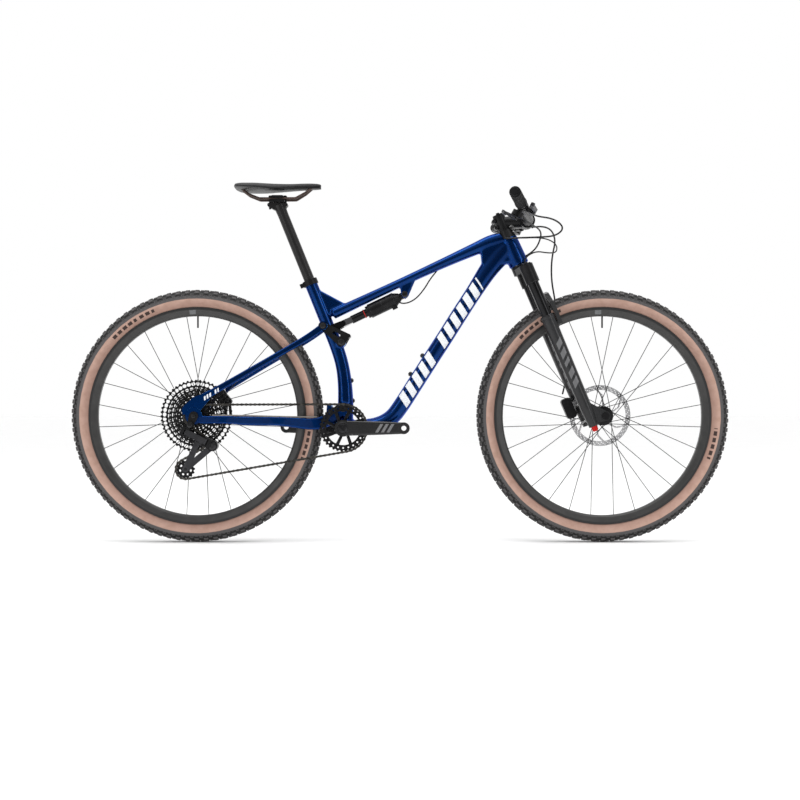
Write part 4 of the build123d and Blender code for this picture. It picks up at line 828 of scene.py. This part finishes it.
def cassettePiece():
    parts = []
    teethList = cassetteShape["teeth"]
    rear = wheelCentres["rear"]
    for index, teeth in enumerate(teethList):
        y = -(cassetteShape["chainLine"]
              + (cassetteShape["chainCog"] - index) * cassetteShape["spacing"]) * mm
        centre = Vector((rear.x, y, rear.z))
        root = pitchRadius(teeth) - 4.2 * mm
        smaller = pitchRadius(teethList[index - 1]) if index else 0.014
        inner = max(min(smaller - 6 * mm, root - 6 * mm), 0.0095) if index > 3 else 0.0105
        cog = toothedRing("cog", centre, teeth, cassetteShape["thick"] * mm, inner)
        if teeth >= 18:
            middle = (root + max(inner, smaller - 4 * mm)) / 2
            wide = root - max(inner, smaller - 4 * mm)
            hole = min(wide * 0.4, 0.0054)
            drill(cog, centre, middle, hole, teeth if teeth < 28 else teeth - 8, index * 0.3,
                  depth=0.0025, stretch=1.15)
        if teeth == 52:
            drill(cog, centre, root - 0.026, 0.0042, 34, 0.5, depth=0.0025, stretch=1.2)
        parts.append(settle(cog, 30))
        if index + 1 < len(teethList):  # cone that carries the next cog
            coreRadius = max(root - 5 * mm, 0.0125)
            core = revolve("core", [(0, coreRadius * 1000), (3.6, coreRadius * 1000),
                                    (3.6, coreRadius * 1000 - 2), (0, coreRadius * 1000 - 2),
                                    (0, coreRadius * 1000)], centre, 48)
            parts.append(settle(core))
    for turn in range(11):  # spokes behind the largest cog
        angle = turn * 2 * math.pi / 11
        out = Vector((math.cos(angle), 0, math.sin(angle)))
        swept = Vector((math.cos(angle + 0.35), 0, math.sin(angle + 0.35)))
        back = Vector((rear.x, -0.0288, rear.z))
        parts.append(rod(back + out * 0.017, back + swept * 0.080, 0.0022, 8))
    return join("cassetteCogs", parts)


ride(cassettePiece(), "cassette", finishes["cassetteBlack"], "cassette", ["cassette"])
print("cassette made")

ringShape = {"centre": (-0.164, -0.0565, 0.333), "teeth": 34, "thick": 2.4, "inner": 50.0,
             "arms": 8, "hub": 24.0}


def chainringPiece():
    centre = Vector(ringShape["centre"])
    rim = toothedRing("chainringRim", centre, ringShape["teeth"], ringShape["thick"] * mm,
                      ringShape["inner"] * mm)
    drill(rim, centre, 0.0575, 0.0026, 24, depth=0.008)
    parts = [settle(rim, 30)]
    lip = revolve("lip", [(-2.2, 52.5), (2.0, 53.5), (2.0, 49), (-2.2, 49), (-2.2, 52.5)],
                  centre, 72)
    parts.append(settle(lip))
    for index in range(ringShape["arms"]):
        angle = index * 2 * math.pi / ringShape["arms"] + 0.2
        deselectAll()
        bpy.ops.mesh.primitive_cube_add(size=1, location=centre)
        arm = bpy.context.object
        openMesh()
        bpy.ops.transform.resize(value=(0.0085, 0.004, 0.031))
        bpy.ops.transform.translate(value=(0, 0, 0.0365))
        selectVerts(arm, lambda vert: vert.co.z > 0.04)
        bpy.ops.transform.resize(value=(1.25, 0.7, 1))
        bpy.ops.transform.translate(value=(0.008, 0, 0))
        bpy.ops.mesh.select_all(action="SELECT")
        bpy.ops.mesh.bevel(offset=0.0012, segments=2, affect="EDGES")
        closeMesh()
        arm.rotation_euler = (0, angle, 0)
        parts.append(settle(arm))
    hub = revolve("hub", [(-9, 20), (-9, 24), (-3, 25), (2, 24), (2, 15.2), (-9, 15.2), (-9, 20)],
                  centre, 48)
    parts.append(settle(hub))
    for index in range(8):
        angle = index * math.pi / 4
        spot = centre + Vector((math.cos(angle) * 0.0205, -0.0092, math.sin(angle) * 0.0205))
        parts.append(boltHead(spot, (0, -1, 0), 0.0026, 0.0012, sides=12))
    return join("chainringWithTeeth", parts)


ride(chainringPiece(), "cranks", finishes["cassetteBlack"], "chainring", ["chainring"])

pulleys = {"guide_pulley": {"place": (-0.583, -0.0565, 0.294), "teeth": 12, "holes": 6},
           "tension_pulley": {"place": (-0.619, -0.0565, 0.214), "teeth": 14, "holes": 7}}
for node, plan in pulleys.items():
    wheel = toothedRing(node, plan["place"], plan["teeth"], 2.3 * mm, 0.0026, 3.6)
    middle = (pitchRadius(plan["teeth"]) - 4.2 * mm + 0.0055) / 2 + 0.001
    drill(wheel, plan["place"], middle, 0.0028, plan["holes"], depth=0.008, sides=12, stretch=1.3)
    sleeve = revolve("sleeve", [(-2.2, 5.4), (2.2, 5.4), (2.2, 2.7), (-2.2, 2.7), (-2.2, 5.4)],
                     plan["place"], 24)
    whole = join(node + "Wheel", [settle(wheel, 30), settle(sleeve)])
    ride(whole, node, finishes["cassetteBlack"], node, [node])
print("chainring and pulleys made")

# ---- chain of links

chainShape = {"frameEnd": (-0.25, -0.0565, 0.36), "armEnd": (-0.49, -0.0565, 0.36),
              "height": 8.0, "plateThick": 0.75, "innerFace": 1.25, "outerFace": 2.05,
              "rollerRadius": 3.8, "pinRadius": 1.8}
chainWheels = [((-0.5915, 0.368), pitchRadius(16), 1), ((-0.164, 0.333), pitchRadius(34), 1),
               ((-0.619, 0.214), pitchRadius(14), 1), ((-0.583, 0.294), pitchRadius(12), -1)]


def chainPath():  # straight runs and arcs, each as (length, place along it)
    headings = []
    for (start, startR, startS), (end, endR, endS) in zip(chainWheels,
                                                          chainWheels[1:] + chainWheels[:1]):
        dx, dz = end[0] - start[0], end[1] - start[1]
        change = endS * endR - startS * startR
        headings.append(math.atan2(dz, dx) + math.asin(change / math.hypot(dx, dz)))
    stretches = []
    for index, (centre, radius, sense) in enumerate(chainWheels):
        arrive, leave = headings[index - 1], headings[index]
        turn = (sense * (arrive - leave)) % (2 * math.pi)

        def onArc(share, centre=centre, radius=radius, sense=sense, arrive=arrive, turn=turn):
            angle = arrive + math.pi / 2 - sense * turn * share
            return Vector((centre[0] + sense * radius * math.cos(angle), 0,
                           centre[1] + sense * radius * math.sin(angle)))

        after, nextR, nextS = chainWheels[(index + 1) % len(chainWheels)]
        angle = leave + math.pi / 2
        first = onArc(1)
        last = Vector((after[0] + nextS * nextR * math.cos(angle), 0,
                       after[1] + nextS * nextR * math.sin(angle)))
        stretches.append((turn * radius, onArc))
        stretches.append(((last - first).length,
                          lambda share, first=first, last=last: first.lerp(last, share)))
    return stretches


def chainPins():
    stretches = chainPath()
    total = sum(length for length, _ in stretches)
    count = 2 * round(total / pinPitch / 2)
    pins = []
    for index in range(count):
        along = total * index / count
        for length, place in stretches:
            if along <= length:
                pins.append(place(along / length))
                break
            along -= length
    return pins


def linkShape(name, face):
    plates = []
    for side in (-1, 1):
        deselectAll()
        bpy.ops.mesh.primitive_cylinder_add(
            vertices=12, radius=chainShape["height"] * mm / 2, depth=chainShape["plateThick"] * mm,
            location=(0, side * (face + chainShape["plateThick"] / 2) * mm, 0),
            rotation=(math.pi / 2, 0, 0))
        plate = bpy.context.object
        bpy.ops.object.transform_apply(location=False, rotation=True, scale=True)
        openMesh()
        for way in (-1, 1):
            selectVerts(plate, lambda vert: vert.co.x * way > 0.0004)
            bpy.ops.transform.translate(value=(way * pinPitch / 2, 0, 0))
        selectVerts(plate, lambda vert: abs(vert.co.x) < 0.0004)
        bpy.ops.transform.resize(value=(1, 1, 0.66))
        closeMesh()
        plates.append(settle(plate, 40))
    if face == chainShape["innerFace"]:
        for way in (-1, 1):
            plates.append(rod((way * pinPitch / 2, -1.2 * mm, 0), (way * pinPitch / 2, 1.2 * mm, 0),
                              chainShape["rollerRadius"] * mm, 12))
    else:
        for way in (-1, 1):
            plates.append(rod((way * pinPitch / 2, -3.1 * mm, 0), (way * pinPitch / 2, 3.1 * mm, 0),
                              chainShape["pinRadius"] * mm, 8))
    return join(name, plates)


def chainPiece():
    kinds = [linkShape("innerLink", chainShape["innerFace"]),
             linkShape("outerLink", chainShape["outerFace"])]
    pins = chainPins()
    links = []
    for index, pin in enumerate(pins):
        after = pins[(index + 1) % len(pins)]
        run = after - pin
        link = copyOf(kinds[index % 2], "link")
        link.location = ((pin.x + after.x) / 2, -0.0565, (pin.z + after.z) / 2)
        link.rotation_euler = (0, -math.atan2(run.z, run.x), 0)
        links.append(link)
    for kind in kinds:
        bpy.data.objects.remove(kind)
    pick(*links)
    bpy.ops.object.transform_apply(location=True, rotation=True, scale=True)
    return join("chainLinks", links)


chainLoop = chainPiece()
chainLoop.data.materials.clear()
chainLoop.data.materials.append(finishes["chainSteel"])
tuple(chainShape["frameEnd"])
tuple(chainShape["armEnd"])
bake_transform(chainLoop)
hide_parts("chain")
print("chain made")
# ---- moulded front triangle

frameShape = {
    "topTube": [(-196, 0, 665, 30, 40), (-20, 0, 747, 25, 42), (110, 0, 807, 28, 44),
                (215, 0, 854, 36, 44), (262, 0, 874, 42, 43), (306, 0, 886, 46, 42)],
    "downTube": [(318, 0, 862, 60, 44), (291, 0, 836, 62, 46), (256, 0, 791, 54, 50),
                 (217, 0, 731, 48, 54), (173, 0, 663, 48, 56), (130, 0, 595, 48, 57),
                 (86, 0, 527, 48, 58), (42, 0, 458, 48, 60), (2, 0, 396, 48, 62),
                 (-26, 0, 362, 47, 63), (-64, 0, 342, 46, 64), (-110, 0, 335, 45, 65),
                 (-150, 0, 333, 44, 66)],
    "seatTube": [(-206, 0, 622, 38, 36.4), (-184, 0, 566, 39, 37), (-169, 0, 515, 39, 40),
                 (-161, 0, 458, 42, 46), (-159, 0, 390, 46, 54), (-161, 0, 340, 44, 60)],
    "headWeb": [(236, 842), (262, 880), (312, 896), (338, 850), (318, 812), (262, 806),
                (240, 800)],
    "seatWeb": [(-236, 736), (-150, 690), (-190, 655), (-215, 672)],
    "voxel": 0.0026, "smoothing": 12, "squareness": 2.5,
}


def smoothStations(stations, steps=4):  # stations between, on a curve through the given ones
    made = []
    last = len(stations) - 1
    for index in range(last):
        a, b = stations[max(index - 1, 0)], stations[index]
        c, d = stations[index + 1], stations[min(index + 2, last)]
        for step in range(steps):
            t = step / steps
            made.append(tuple(
                0.5 * (2 * q + (r - p) * t + (2 * p - 5 * q + 4 * r - w) * t * t
                       + (3 * q - p - 3 * r + w) * t ** 3)
                for p, q, r, w in zip(a, b, c, d)))
    made.append(stations[last])
    return made


def loftTube(name, stations, sides=32, squareness=2.5):  # closed tube through rounded sections
    count = len(stations) - 1
    deselectAll()
    bpy.ops.mesh.primitive_grid_add(x_subdivisions=sides, y_subdivisions=count, size=2)
    piece = bpy.context.object

    def place(co):
        turn = (co.x + 1) * math.pi
        index = round((co.y + 1) / 2 * count)
        x, y, z, deep, wide = stations[index]
        before, after = stations[max(index - 1, 0)], stations[min(index + 1, count)]
        run = (Vector(after[:3]) - Vector(before[:3])).normalized()
        across = (Vector((0, 1, 0)) - run * run.y).normalized()
        up = run.cross(across)
        c, s = math.cos(turn), math.sin(turn)
        reach = (abs(c) ** squareness + abs(s) ** squareness) ** (-1 / squareness)
        return (Vector((x, y, z)) + across * (c * reach * wide / 2)
                + up * (s * reach * deep / 2)) * mm

    openMesh()
    moveVerts(piece, place)
    bpy.ops.mesh.remove_doubles(threshold=0.00001)
    bpy.ops.mesh.fill_holes(sides=0)
    mendNormals()
    closeMesh()
    piece.name = name
    return piece


def sidePlate(points, halfWide):  # flat plate through (x, z) points in the side view
    deselectAll()
    bpy.ops.mesh.primitive_circle_add(vertices=len(points), radius=1, fill_type="NGON")
    plate = bpy.context.object
    openMesh()
    shape = bmesh.from_edit_mesh(plate.data)
    shape.verts.ensure_lookup_table()
    for vert, (x, z) in zip(shape.verts, points):
        vert.co = Vector((x, 0, z)) * mm
    bmesh.update_edit_mesh(plate.data)
    closeMesh()
    addModifier(plate, "SOLIDIFY", thickness=2 * halfWide * mm, offset=0)
    applyModifiers(plate)
    return plate


def crossPin(x, z, radius, halfWide, sides=32):
    return rod((x * mm, -halfWide * mm, z * mm), (x * mm, halfWide * mm, z * mm), radius * mm,
               sides)


forkAxis = Vector((-0.390731, 0, 0.920505))
forkForward = Vector((0.920505, 0, 0.390731))
forkOrigin = Vector((544.554, 0, 348.073))


def forkPlace(forward, left, up):  # metres, from the fork's own frame in millimetres
    return (forkOrigin + forkForward * forward + Vector((0, left, 0)) + forkAxis * up) * mm


seatTop = Vector((-264.2, 0, 763.0))
seatAxis = Vector((-0.374607, 0, 0.927184))


def seatPlace(along):
    return (seatTop + seatAxis * along) * mm


def frameShell():
    parts = [loftTube("topTube", smoothStations(frameShape["topTube"])),
             loftTube("downTube", smoothStations(frameShape["downTube"])),
             loftTube("seatTube", smoothStations(frameShape["seatTube"])),
             rod(forkPlace(0, 0, 500), forkPlace(0, 0, 586), 0.0295, 48, 0.0262),
             rod(seatPlace(-160), seatPlace(0), 0.0186, 40),
             sidePlate(frameShape["headWeb"], 20),
             sidePlate(frameShape["seatWeb"], 11.5),
             crossPin(-164, 333, 25, 42), crossPin(-164.6, 390.3, 16, 30),
             crossPin(-170.4, 582.2, 13, 26)]
    for side in (-1, 1):
        lug = sidePlate([(2, 722), (6, 712), (16, 709), (25, 717), (44, 762), (38, 776), (-2, 756)],
                        3.4)
        lug.location = (0, side * 14.6 * mm, 0)
        parts.append(settle(lug))
    shell = join("frameShell", parts)
    addModifier(shell, "REMESH", mode="VOXEL", voxel_size=frameShape["voxel"])
    addModifier(shell, "SMOOTH", factor=0.5, iterations=frameShape["smoothing"])
    applyModifiers(shell)
    cutters = [rod(forkPlace(0, 0, 586), forkPlace(0, 0, 640), 0.0262, 48),
               rod(forkPlace(0, 0, 440), forkPlace(0, 0, 500), 0.042, 48),
               rod(forkPlace(0, 0, 490), forkPlace(0, 0, 590), 0.0215, 40),
               rod(seatPlace(-158), seatPlace(20), 0.0157, 40),
               rod((-0.164, -0.06, 0.333), (-0.164, 0.06, 0.333), 0.0205, 40),
               rod((0.0138, -0.0111, 0.7223), (0.0138, 0.0111, 0.7223), 0.0125, 32)]
    for cutter in cutters:
        addModifier(shell, "BOOLEAN", object=cutter, operation="DIFFERENCE", solver="FAST")
        applyModifiers(shell)
        bpy.data.objects.remove(cutter)
    return settle(shell, 45)


ride(frameShell(), "frame", finishes["framePaint"], "main_frame", ["main_frame"])
print("frame shell made")

# ---- grips

barOutward = Vector((-0.20712, -0.974425, 0.087156))
barEnd = Vector((305.054, -380.0, 965.166)) * mm
gripShape = {"length": 118, "radius": 15.0, "pads": 16, "padRows": 22, "collar": 17.2}


def mirrored(vector, side):
    return Vector((vector.x, -vector.y * side, vector.z)) if side > 0 else Vector(vector)


def gripPiece(side):  # side -1 is the right-hand grip
    out = mirrored(barOutward, side)
    tip = mirrored(barEnd, side)
    start = tip - out * 0.119
    sleeve = rod(start, tip + out * 0.0005, gripShape["radius"] * mm, 32, bevel=0.001)
    deselectAll()
    bpy.ops.mesh.primitive_cube_add(size=1)
    pad = bpy.context.object
    openMesh()
    bpy.ops.transform.resize(value=(0.0042, 0.0015, 0.0036))
    selectFaces(pad, lambda face: face.normal.y > 0.9)
    bpy.ops.transform.resize(value=(0.6, 1, 0.6))
    bpy.ops.mesh.select_all(action="SELECT")
    bpy.ops.transform.translate(value=(0, gripShape["radius"] * mm + 0.0003, 0.006))
    closeMesh()
    deselectAll()
    bpy.ops.object.empty_add(location=(0, 0, 0), rotation=(0, 0, 2 * math.pi / gripShape["pads"]))
    turner = bpy.context.object
    bpy.ops.object.empty_add(location=(0, 0, 0.0047),
                             rotation=(0, 0, math.pi / gripShape["pads"]))
    stepper = bpy.context.object
    addModifier(pad, "ARRAY", count=gripShape["pads"], use_relative_offset=False,
                use_object_offset=True, offset_object=turner)
    applyModifiers(pad)
    addModifier(pad, "ARRAY", count=gripShape["padRows"], use_relative_offset=False,
                use_object_offset=True, offset_object=stepper)
    applyModifiers(pad)
    bpy.data.objects.remove(turner)
    bpy.data.objects.remove(stepper)
    pad.location = start
    pad.rotation_euler = facing(out)
    settle(pad, 30)
    return join("gripSleeve", [sleeve, pad])


grips = join("gripSleeves", [gripPiece(-1), gripPiece(1)])
ride(grips, "steering", finishes["gripRubber"], "grips", ["grips"])
rings = []
for side in (-1, 1):
    out, tip = mirrored(barOutward, side), mirrored(barEnd, side)
    start = tip - out * 0.128
    rings.append(rod(start, start + out * 0.0085, 0.0172, 36, bevel=0.001))
    rings.append(boltHead(start + out * 0.0042 + Vector((0, 0, 0.0162)), (0, 0, 1), 0.0028, 0.002))
    rings.append(rod(tip, tip + out * 0.0018, 0.0158, 36, bevel=0.0008))
    rings.append(ring(tip + out * 0.0018, out, 0.0105, 0.0008))
ride(join("gripEnds", rings), "steering", finishes["anodisedBlack"], "grips")
print("grips made")

# ---- saddle

saddleShape = {
    "line": [(-481, 0, 1041.5, 8, 84), (-474, 0, 1040, 12, 122), (-462, 0, 1039, 16, 138),
             (-440, 0, 1038, 18, 143), (-418, 0, 1037.5, 19, 138), (-385, 0, 1036.5, 19, 112),
             (-350, 0, 1036.5, 18, 78), (-320, 0, 1037.5, 17, 54), (-290, 0, 1039, 16, 44),
             (-262, 0, 1040.2, 14, 39), (-240, 0, 1040.5, 11, 33), (-231, 0, 1040, 6, 20)],
    "channelHalf": 9.0, "channelDeep": 3.0, "seamDeep": 0.9, "wingDrop": 7.0,
}


def saddleCover():
    cover = loftTube("saddleCover", smoothStations(saddleShape["line"], 5), 72, 2.3)

    def shape(co):
        x, y, z = co.x * 1000, co.y * 1000, co.z * 1000
        half = max(wideAt(x) / 2, 1)
        share = abs(y) / half
        z -= saddleShape["wingDrop"] * share ** 2.4 * min(1, half / 50)
        if z > 1036:
            z -= saddleShape["channelDeep"] * math.exp(-(y / saddleShape["channelHalf"]) ** 2) \
                * math.exp(-((x + 370) / 75) ** 4)
            z -= saddleShape["seamDeep"] * math.exp(-((share - 0.78) / 0.035) ** 2)
        return Vector((x, y, z)) * mm

    stations = smoothStations(saddleShape["line"], 5)

    def wideAt(x):
        nearest = min(stations, key=lambda station: abs(station[0] - x))
        return nearest[4]

    openMesh()
    moveVerts(cover, shape)
    closeMesh()
    addModifier(cover, "SUBSURF", levels=1, render_levels=1)
    addModifier(cover, "SMOOTH", factor=0.4, iterations=2)
    return settle(cover, 60)


cover = saddleCover()
ride(cover, "seat", finishes["saddleSkin"], "saddle", ["saddle"])
base = loftTube("saddleBase", [(x, y, z - 7.5, deep * 0.55, wide * 0.9)
                               for x, y, z, deep, wide in smoothStations(saddleShape["line"], 4)],
                48, 2.6)
ride(settle(base), "seat", finishes["shellPlastic"], "saddle")
print("saddle made")

# ---- brake rotors

rotorPlans = {"front": {"y": 42.4, "outer": 90, "node": "front_rotor", "body": "front_wheel"},
              "rear": {"y": 54.0, "outer": 80, "node": "rear_rotor", "body": "rear_wheel"}}


def rotorPiece(end, plan):
    middle = wheelCentres[end] + Vector((0, plan["y"] * mm, 0))
    outer = plan["outer"]
    track = revolve("track", [(-0.9, outer), (0.9, outer), (0.9, outer - 14), (-0.9, outer - 14),
                              (-0.9, outer)], middle, 96)
    for index, reach in enumerate((outer - 4, outer - 7.5, outer - 11)):
        drill(track, middle, reach * mm, 0.0013, 36, index * 0.34, depth=0.004, sides=8,
              stretch=1.5)
    parts = [settle(track, 30)]
    for index in range(6):
        angle = index * math.pi / 3
        inner = Vector((math.cos(angle), 0, math.sin(angle))) * 0.021
        swept = Vector((math.cos(angle + 0.66), 0, math.sin(angle + 0.66))) * (outer - 13) * mm
        bend = Vector((math.cos(angle + 0.42), 0, math.sin(angle + 0.42))) * (outer - 30) * mm
        for start, finish in ((inner, bend), (bend, swept)):
            arm = rod(middle + start, middle + finish, 0.0026, 8)
            openMesh()
            bpy.ops.transform.resize(value=(1, 0.34, 1), center_override=middle)
            closeMesh()
            parts.append(arm)
    return join(end + "RotorDisc", parts)


for end, plan in rotorPlans.items():
    ride(rotorPiece(end, plan), plan["body"], finishes["rotorSteel"], plan["node"],
         [plan["node"]])
    middle = wheelCentres[end] + Vector((0, plan["y"] * mm, 0))
    carrier = [settle(revolve("carrier", [(-1.4, 24), (1.4, 24), (2.2, 18.5), (2.2, 17.3),
                                          (-1.4, 17.3), (-1.4, 24)], middle, 48)),
               settle(revolve("lockring", [(2.2, 21), (4.0, 20), (4.0, 17.4), (2.2, 17.4),
                                           (2.2, 21)], middle, 24), 20)]
    ride(join(end + "RotorCarrier", carrier), plan["body"], finishes["anodisedBlack"],
         plan["node"])
print("rotors made")

# ---- bolts, caps and small trim

pivotHeads = [((-0.1646, 0.3903), 0.0438, 0.011), ((-0.1704, 0.5822), 0.0338, 0.010),
              ((0.0138, 0.7223), 0.018, 0.009)]
bottleHeads = [((0.064, 0.545), (-0.844, 0.537)), ((0.029, 0.491), (-0.844, 0.537)),
               ((-0.1402, 0.471), (1, 0)), ((-0.1365, 0.412), (1, 0))]
heads = []
for (x, z), inner, radius in pivotHeads:
    for side in (-1, 1):
        heads.append(rod((x, side * inner, z), (x, side * (inner + 0.0032), z), radius, 40,
                         bevel=0.0008))
for (x, z), (dx, dz) in bottleHeads:
    way = Vector((dx, 0, dz))
    spot = Vector((x, 0, z))
    heads.append(rod(spot - way * 0.006, spot + way * 0.002, 0.0068, 28, bevel=0.0008))
    heads.append(boltHead(spot + way * 0.002, way, 0.0042, 0.0024))
ride(join("frameBoltHeads", heads), "frame", finishes["boltBlack"], "frame_bolts",
     ["frame_bolts"])

trims = {"frame": [], "steering": [], "rocker": [], "cranks": [], "cage": [], "p_knuckle": [],
         "swingarm": [], "fork_lower": [], "front_wheel": [], "rear_wheel": [], "seat": [],
         "shock_can": []}
for side in (-1, 1):
    way = (0, side, 0)
    trims["frame"].append(boltHead((-0.1646, side * 0.047, 0.3903), way, 0.0088, 0.0022))
    trims["frame"].append(boltHead((-0.1704, side * 0.037, 0.5822), way, 0.0082, 0.0022))
    trims["frame"].append(boltHead((0.0138, side * 0.022, 0.7223), way, 0.0072, 0.002))
    trims["rocker"].append(boltHead((-0.2237, side * 0.044, 0.6293), way, 0.0082, 0.0022))
    trims["front_wheel"].append(ring(wheelCentres["front"] + Vector((0, side * 0.029, 0)), way,
                                     0.0265, 0.0012))
    trims["rear_wheel"].append(ring(wheelCentres["rear"] + Vector((0, side * 0.022, 0)), way,
                                    0.0265, 0.0012))
    trims["steering"].append(ring(forkPlace(9, side * 65, 436), forkAxis, 0.0196, 0.0012))
    trims["steering"].append(rod(forkPlace(9, side * 65, 489), forkPlace(9, side * 65, 493.5),
                                 0.0165, 32, bevel=0.0012))
    trims["steering"].append(boltHead(forkPlace(9, side * 65, 493.4), forkAxis, 0.009, 0.0025))
    trims["fork_lower"].append(ring(forkPlace(9, side * 65, 331), forkAxis, 0.0186, 0.0018))
    trims["fork_lower"].append(ring(forkPlace(9, side * 65, 322), forkAxis, 0.0208, 0.0012))
trims["cranks"] += [
    boltHead((-0.164, -0.0795, 0.333), (0, -1, 0), 0.0135, 0.0035, socket=0.42, sides=32),
    ring((-0.164, -0.0802, 0.333), (0, 1, 0), 0.0165, 0.0013),
    boltHead((-0.164, 0.0795, 0.333), (0, 1, 0), 0.0145, 0.0035, socket=0.5, sides=32),
    ring((0.011, -0.0838, 0.333), (0, 1, 0), 0.0092, 0.0009),
    ring((-0.339, 0.0838, 0.333), (0, 1, 0), 0.0092, 0.0009)]
trims["cage"] += [boltHead((-0.583, -0.0626, 0.294), (0, -1, 0), 0.0042, 0.002),
                  boltHead((-0.619, -0.0626, 0.214), (0, -1, 0), 0.0042, 0.002),
                  boltHead((-0.583, -0.0504, 0.294), (0, 1, 0), 0.0042, 0.0016),
                  boltHead((-0.619, -0.0504, 0.214), (0, 1, 0), 0.0042, 0.0016)]
trims["p_knuckle"] += [boltHead((-0.538, -0.0898, 0.283), (0, -1, 0), 0.0125, 0.0022, 0.35),
                       ring((-0.538, -0.0876, 0.283), (0, 1, 0), 0.0145, 0.0012)]
trims["swingarm"] += [boltHead((-0.601, -0.099, 0.343), (0, -1, 0), 0.0078, 0.0022),
                      boltHead((-0.5915, -0.0886, 0.368), (0, -1, 0), 0.006, 0.0016)]
trims["steering"].append(boltHead(forkPlace(0, 0, 664), forkAxis, 0.0048, 0.002))
stemForward = Vector((0.998630, 0, 0.052336))
barCentre = Vector((370.946, 0, 937.439)) * mm
for side in (-1, 1):
    for lift in (-1, 1):
        spot = barCentre + Vector((0.0165, side * 0.0165, lift * 0.0155))
        trims["steering"].append(boltHead(spot, stemForward, 0.0038, 0.0035, sides=14))
for lift in (-10, 10):
    spot = forkPlace(-20, -14, 636 + lift)
    trims["steering"].append(boltHead(spot, (0, -1, 0), 0.0042, 0.0022, sides=14))
shockAlong = Vector((0.902616, 0, 0.430447))
yoke = Vector((-204.7, 0, 618.1))
for along, radius in ((131, 0.0212), (205, 0.0212), (168, 0.0211)):
    trims["shock_can"].append(ring((yoke + shockAlong * along) * mm, shockAlong, radius, 0.0008))
trims["seat"] += [boltHead((-0.3805, 0, 1.008), (0, 0, 1), 0.0042, 0.0025),
                  boltHead((-0.3345, 0, 1.008), (0, 0, 1), 0.0042, 0.0025)]
for body, group in trims.items():
    ride(join(body + "Trim", group), body, finishes["boltBlack"])
sealRing = ring((yoke + shockAlong * 112) * mm, shockAlong, 0.0124, 0.0014)
sealRing.name = "travelRing"
ride(sealRing, "shock_can", finishes["redRubber"], "shock_can")
print("trim made")
#REST
print("done")
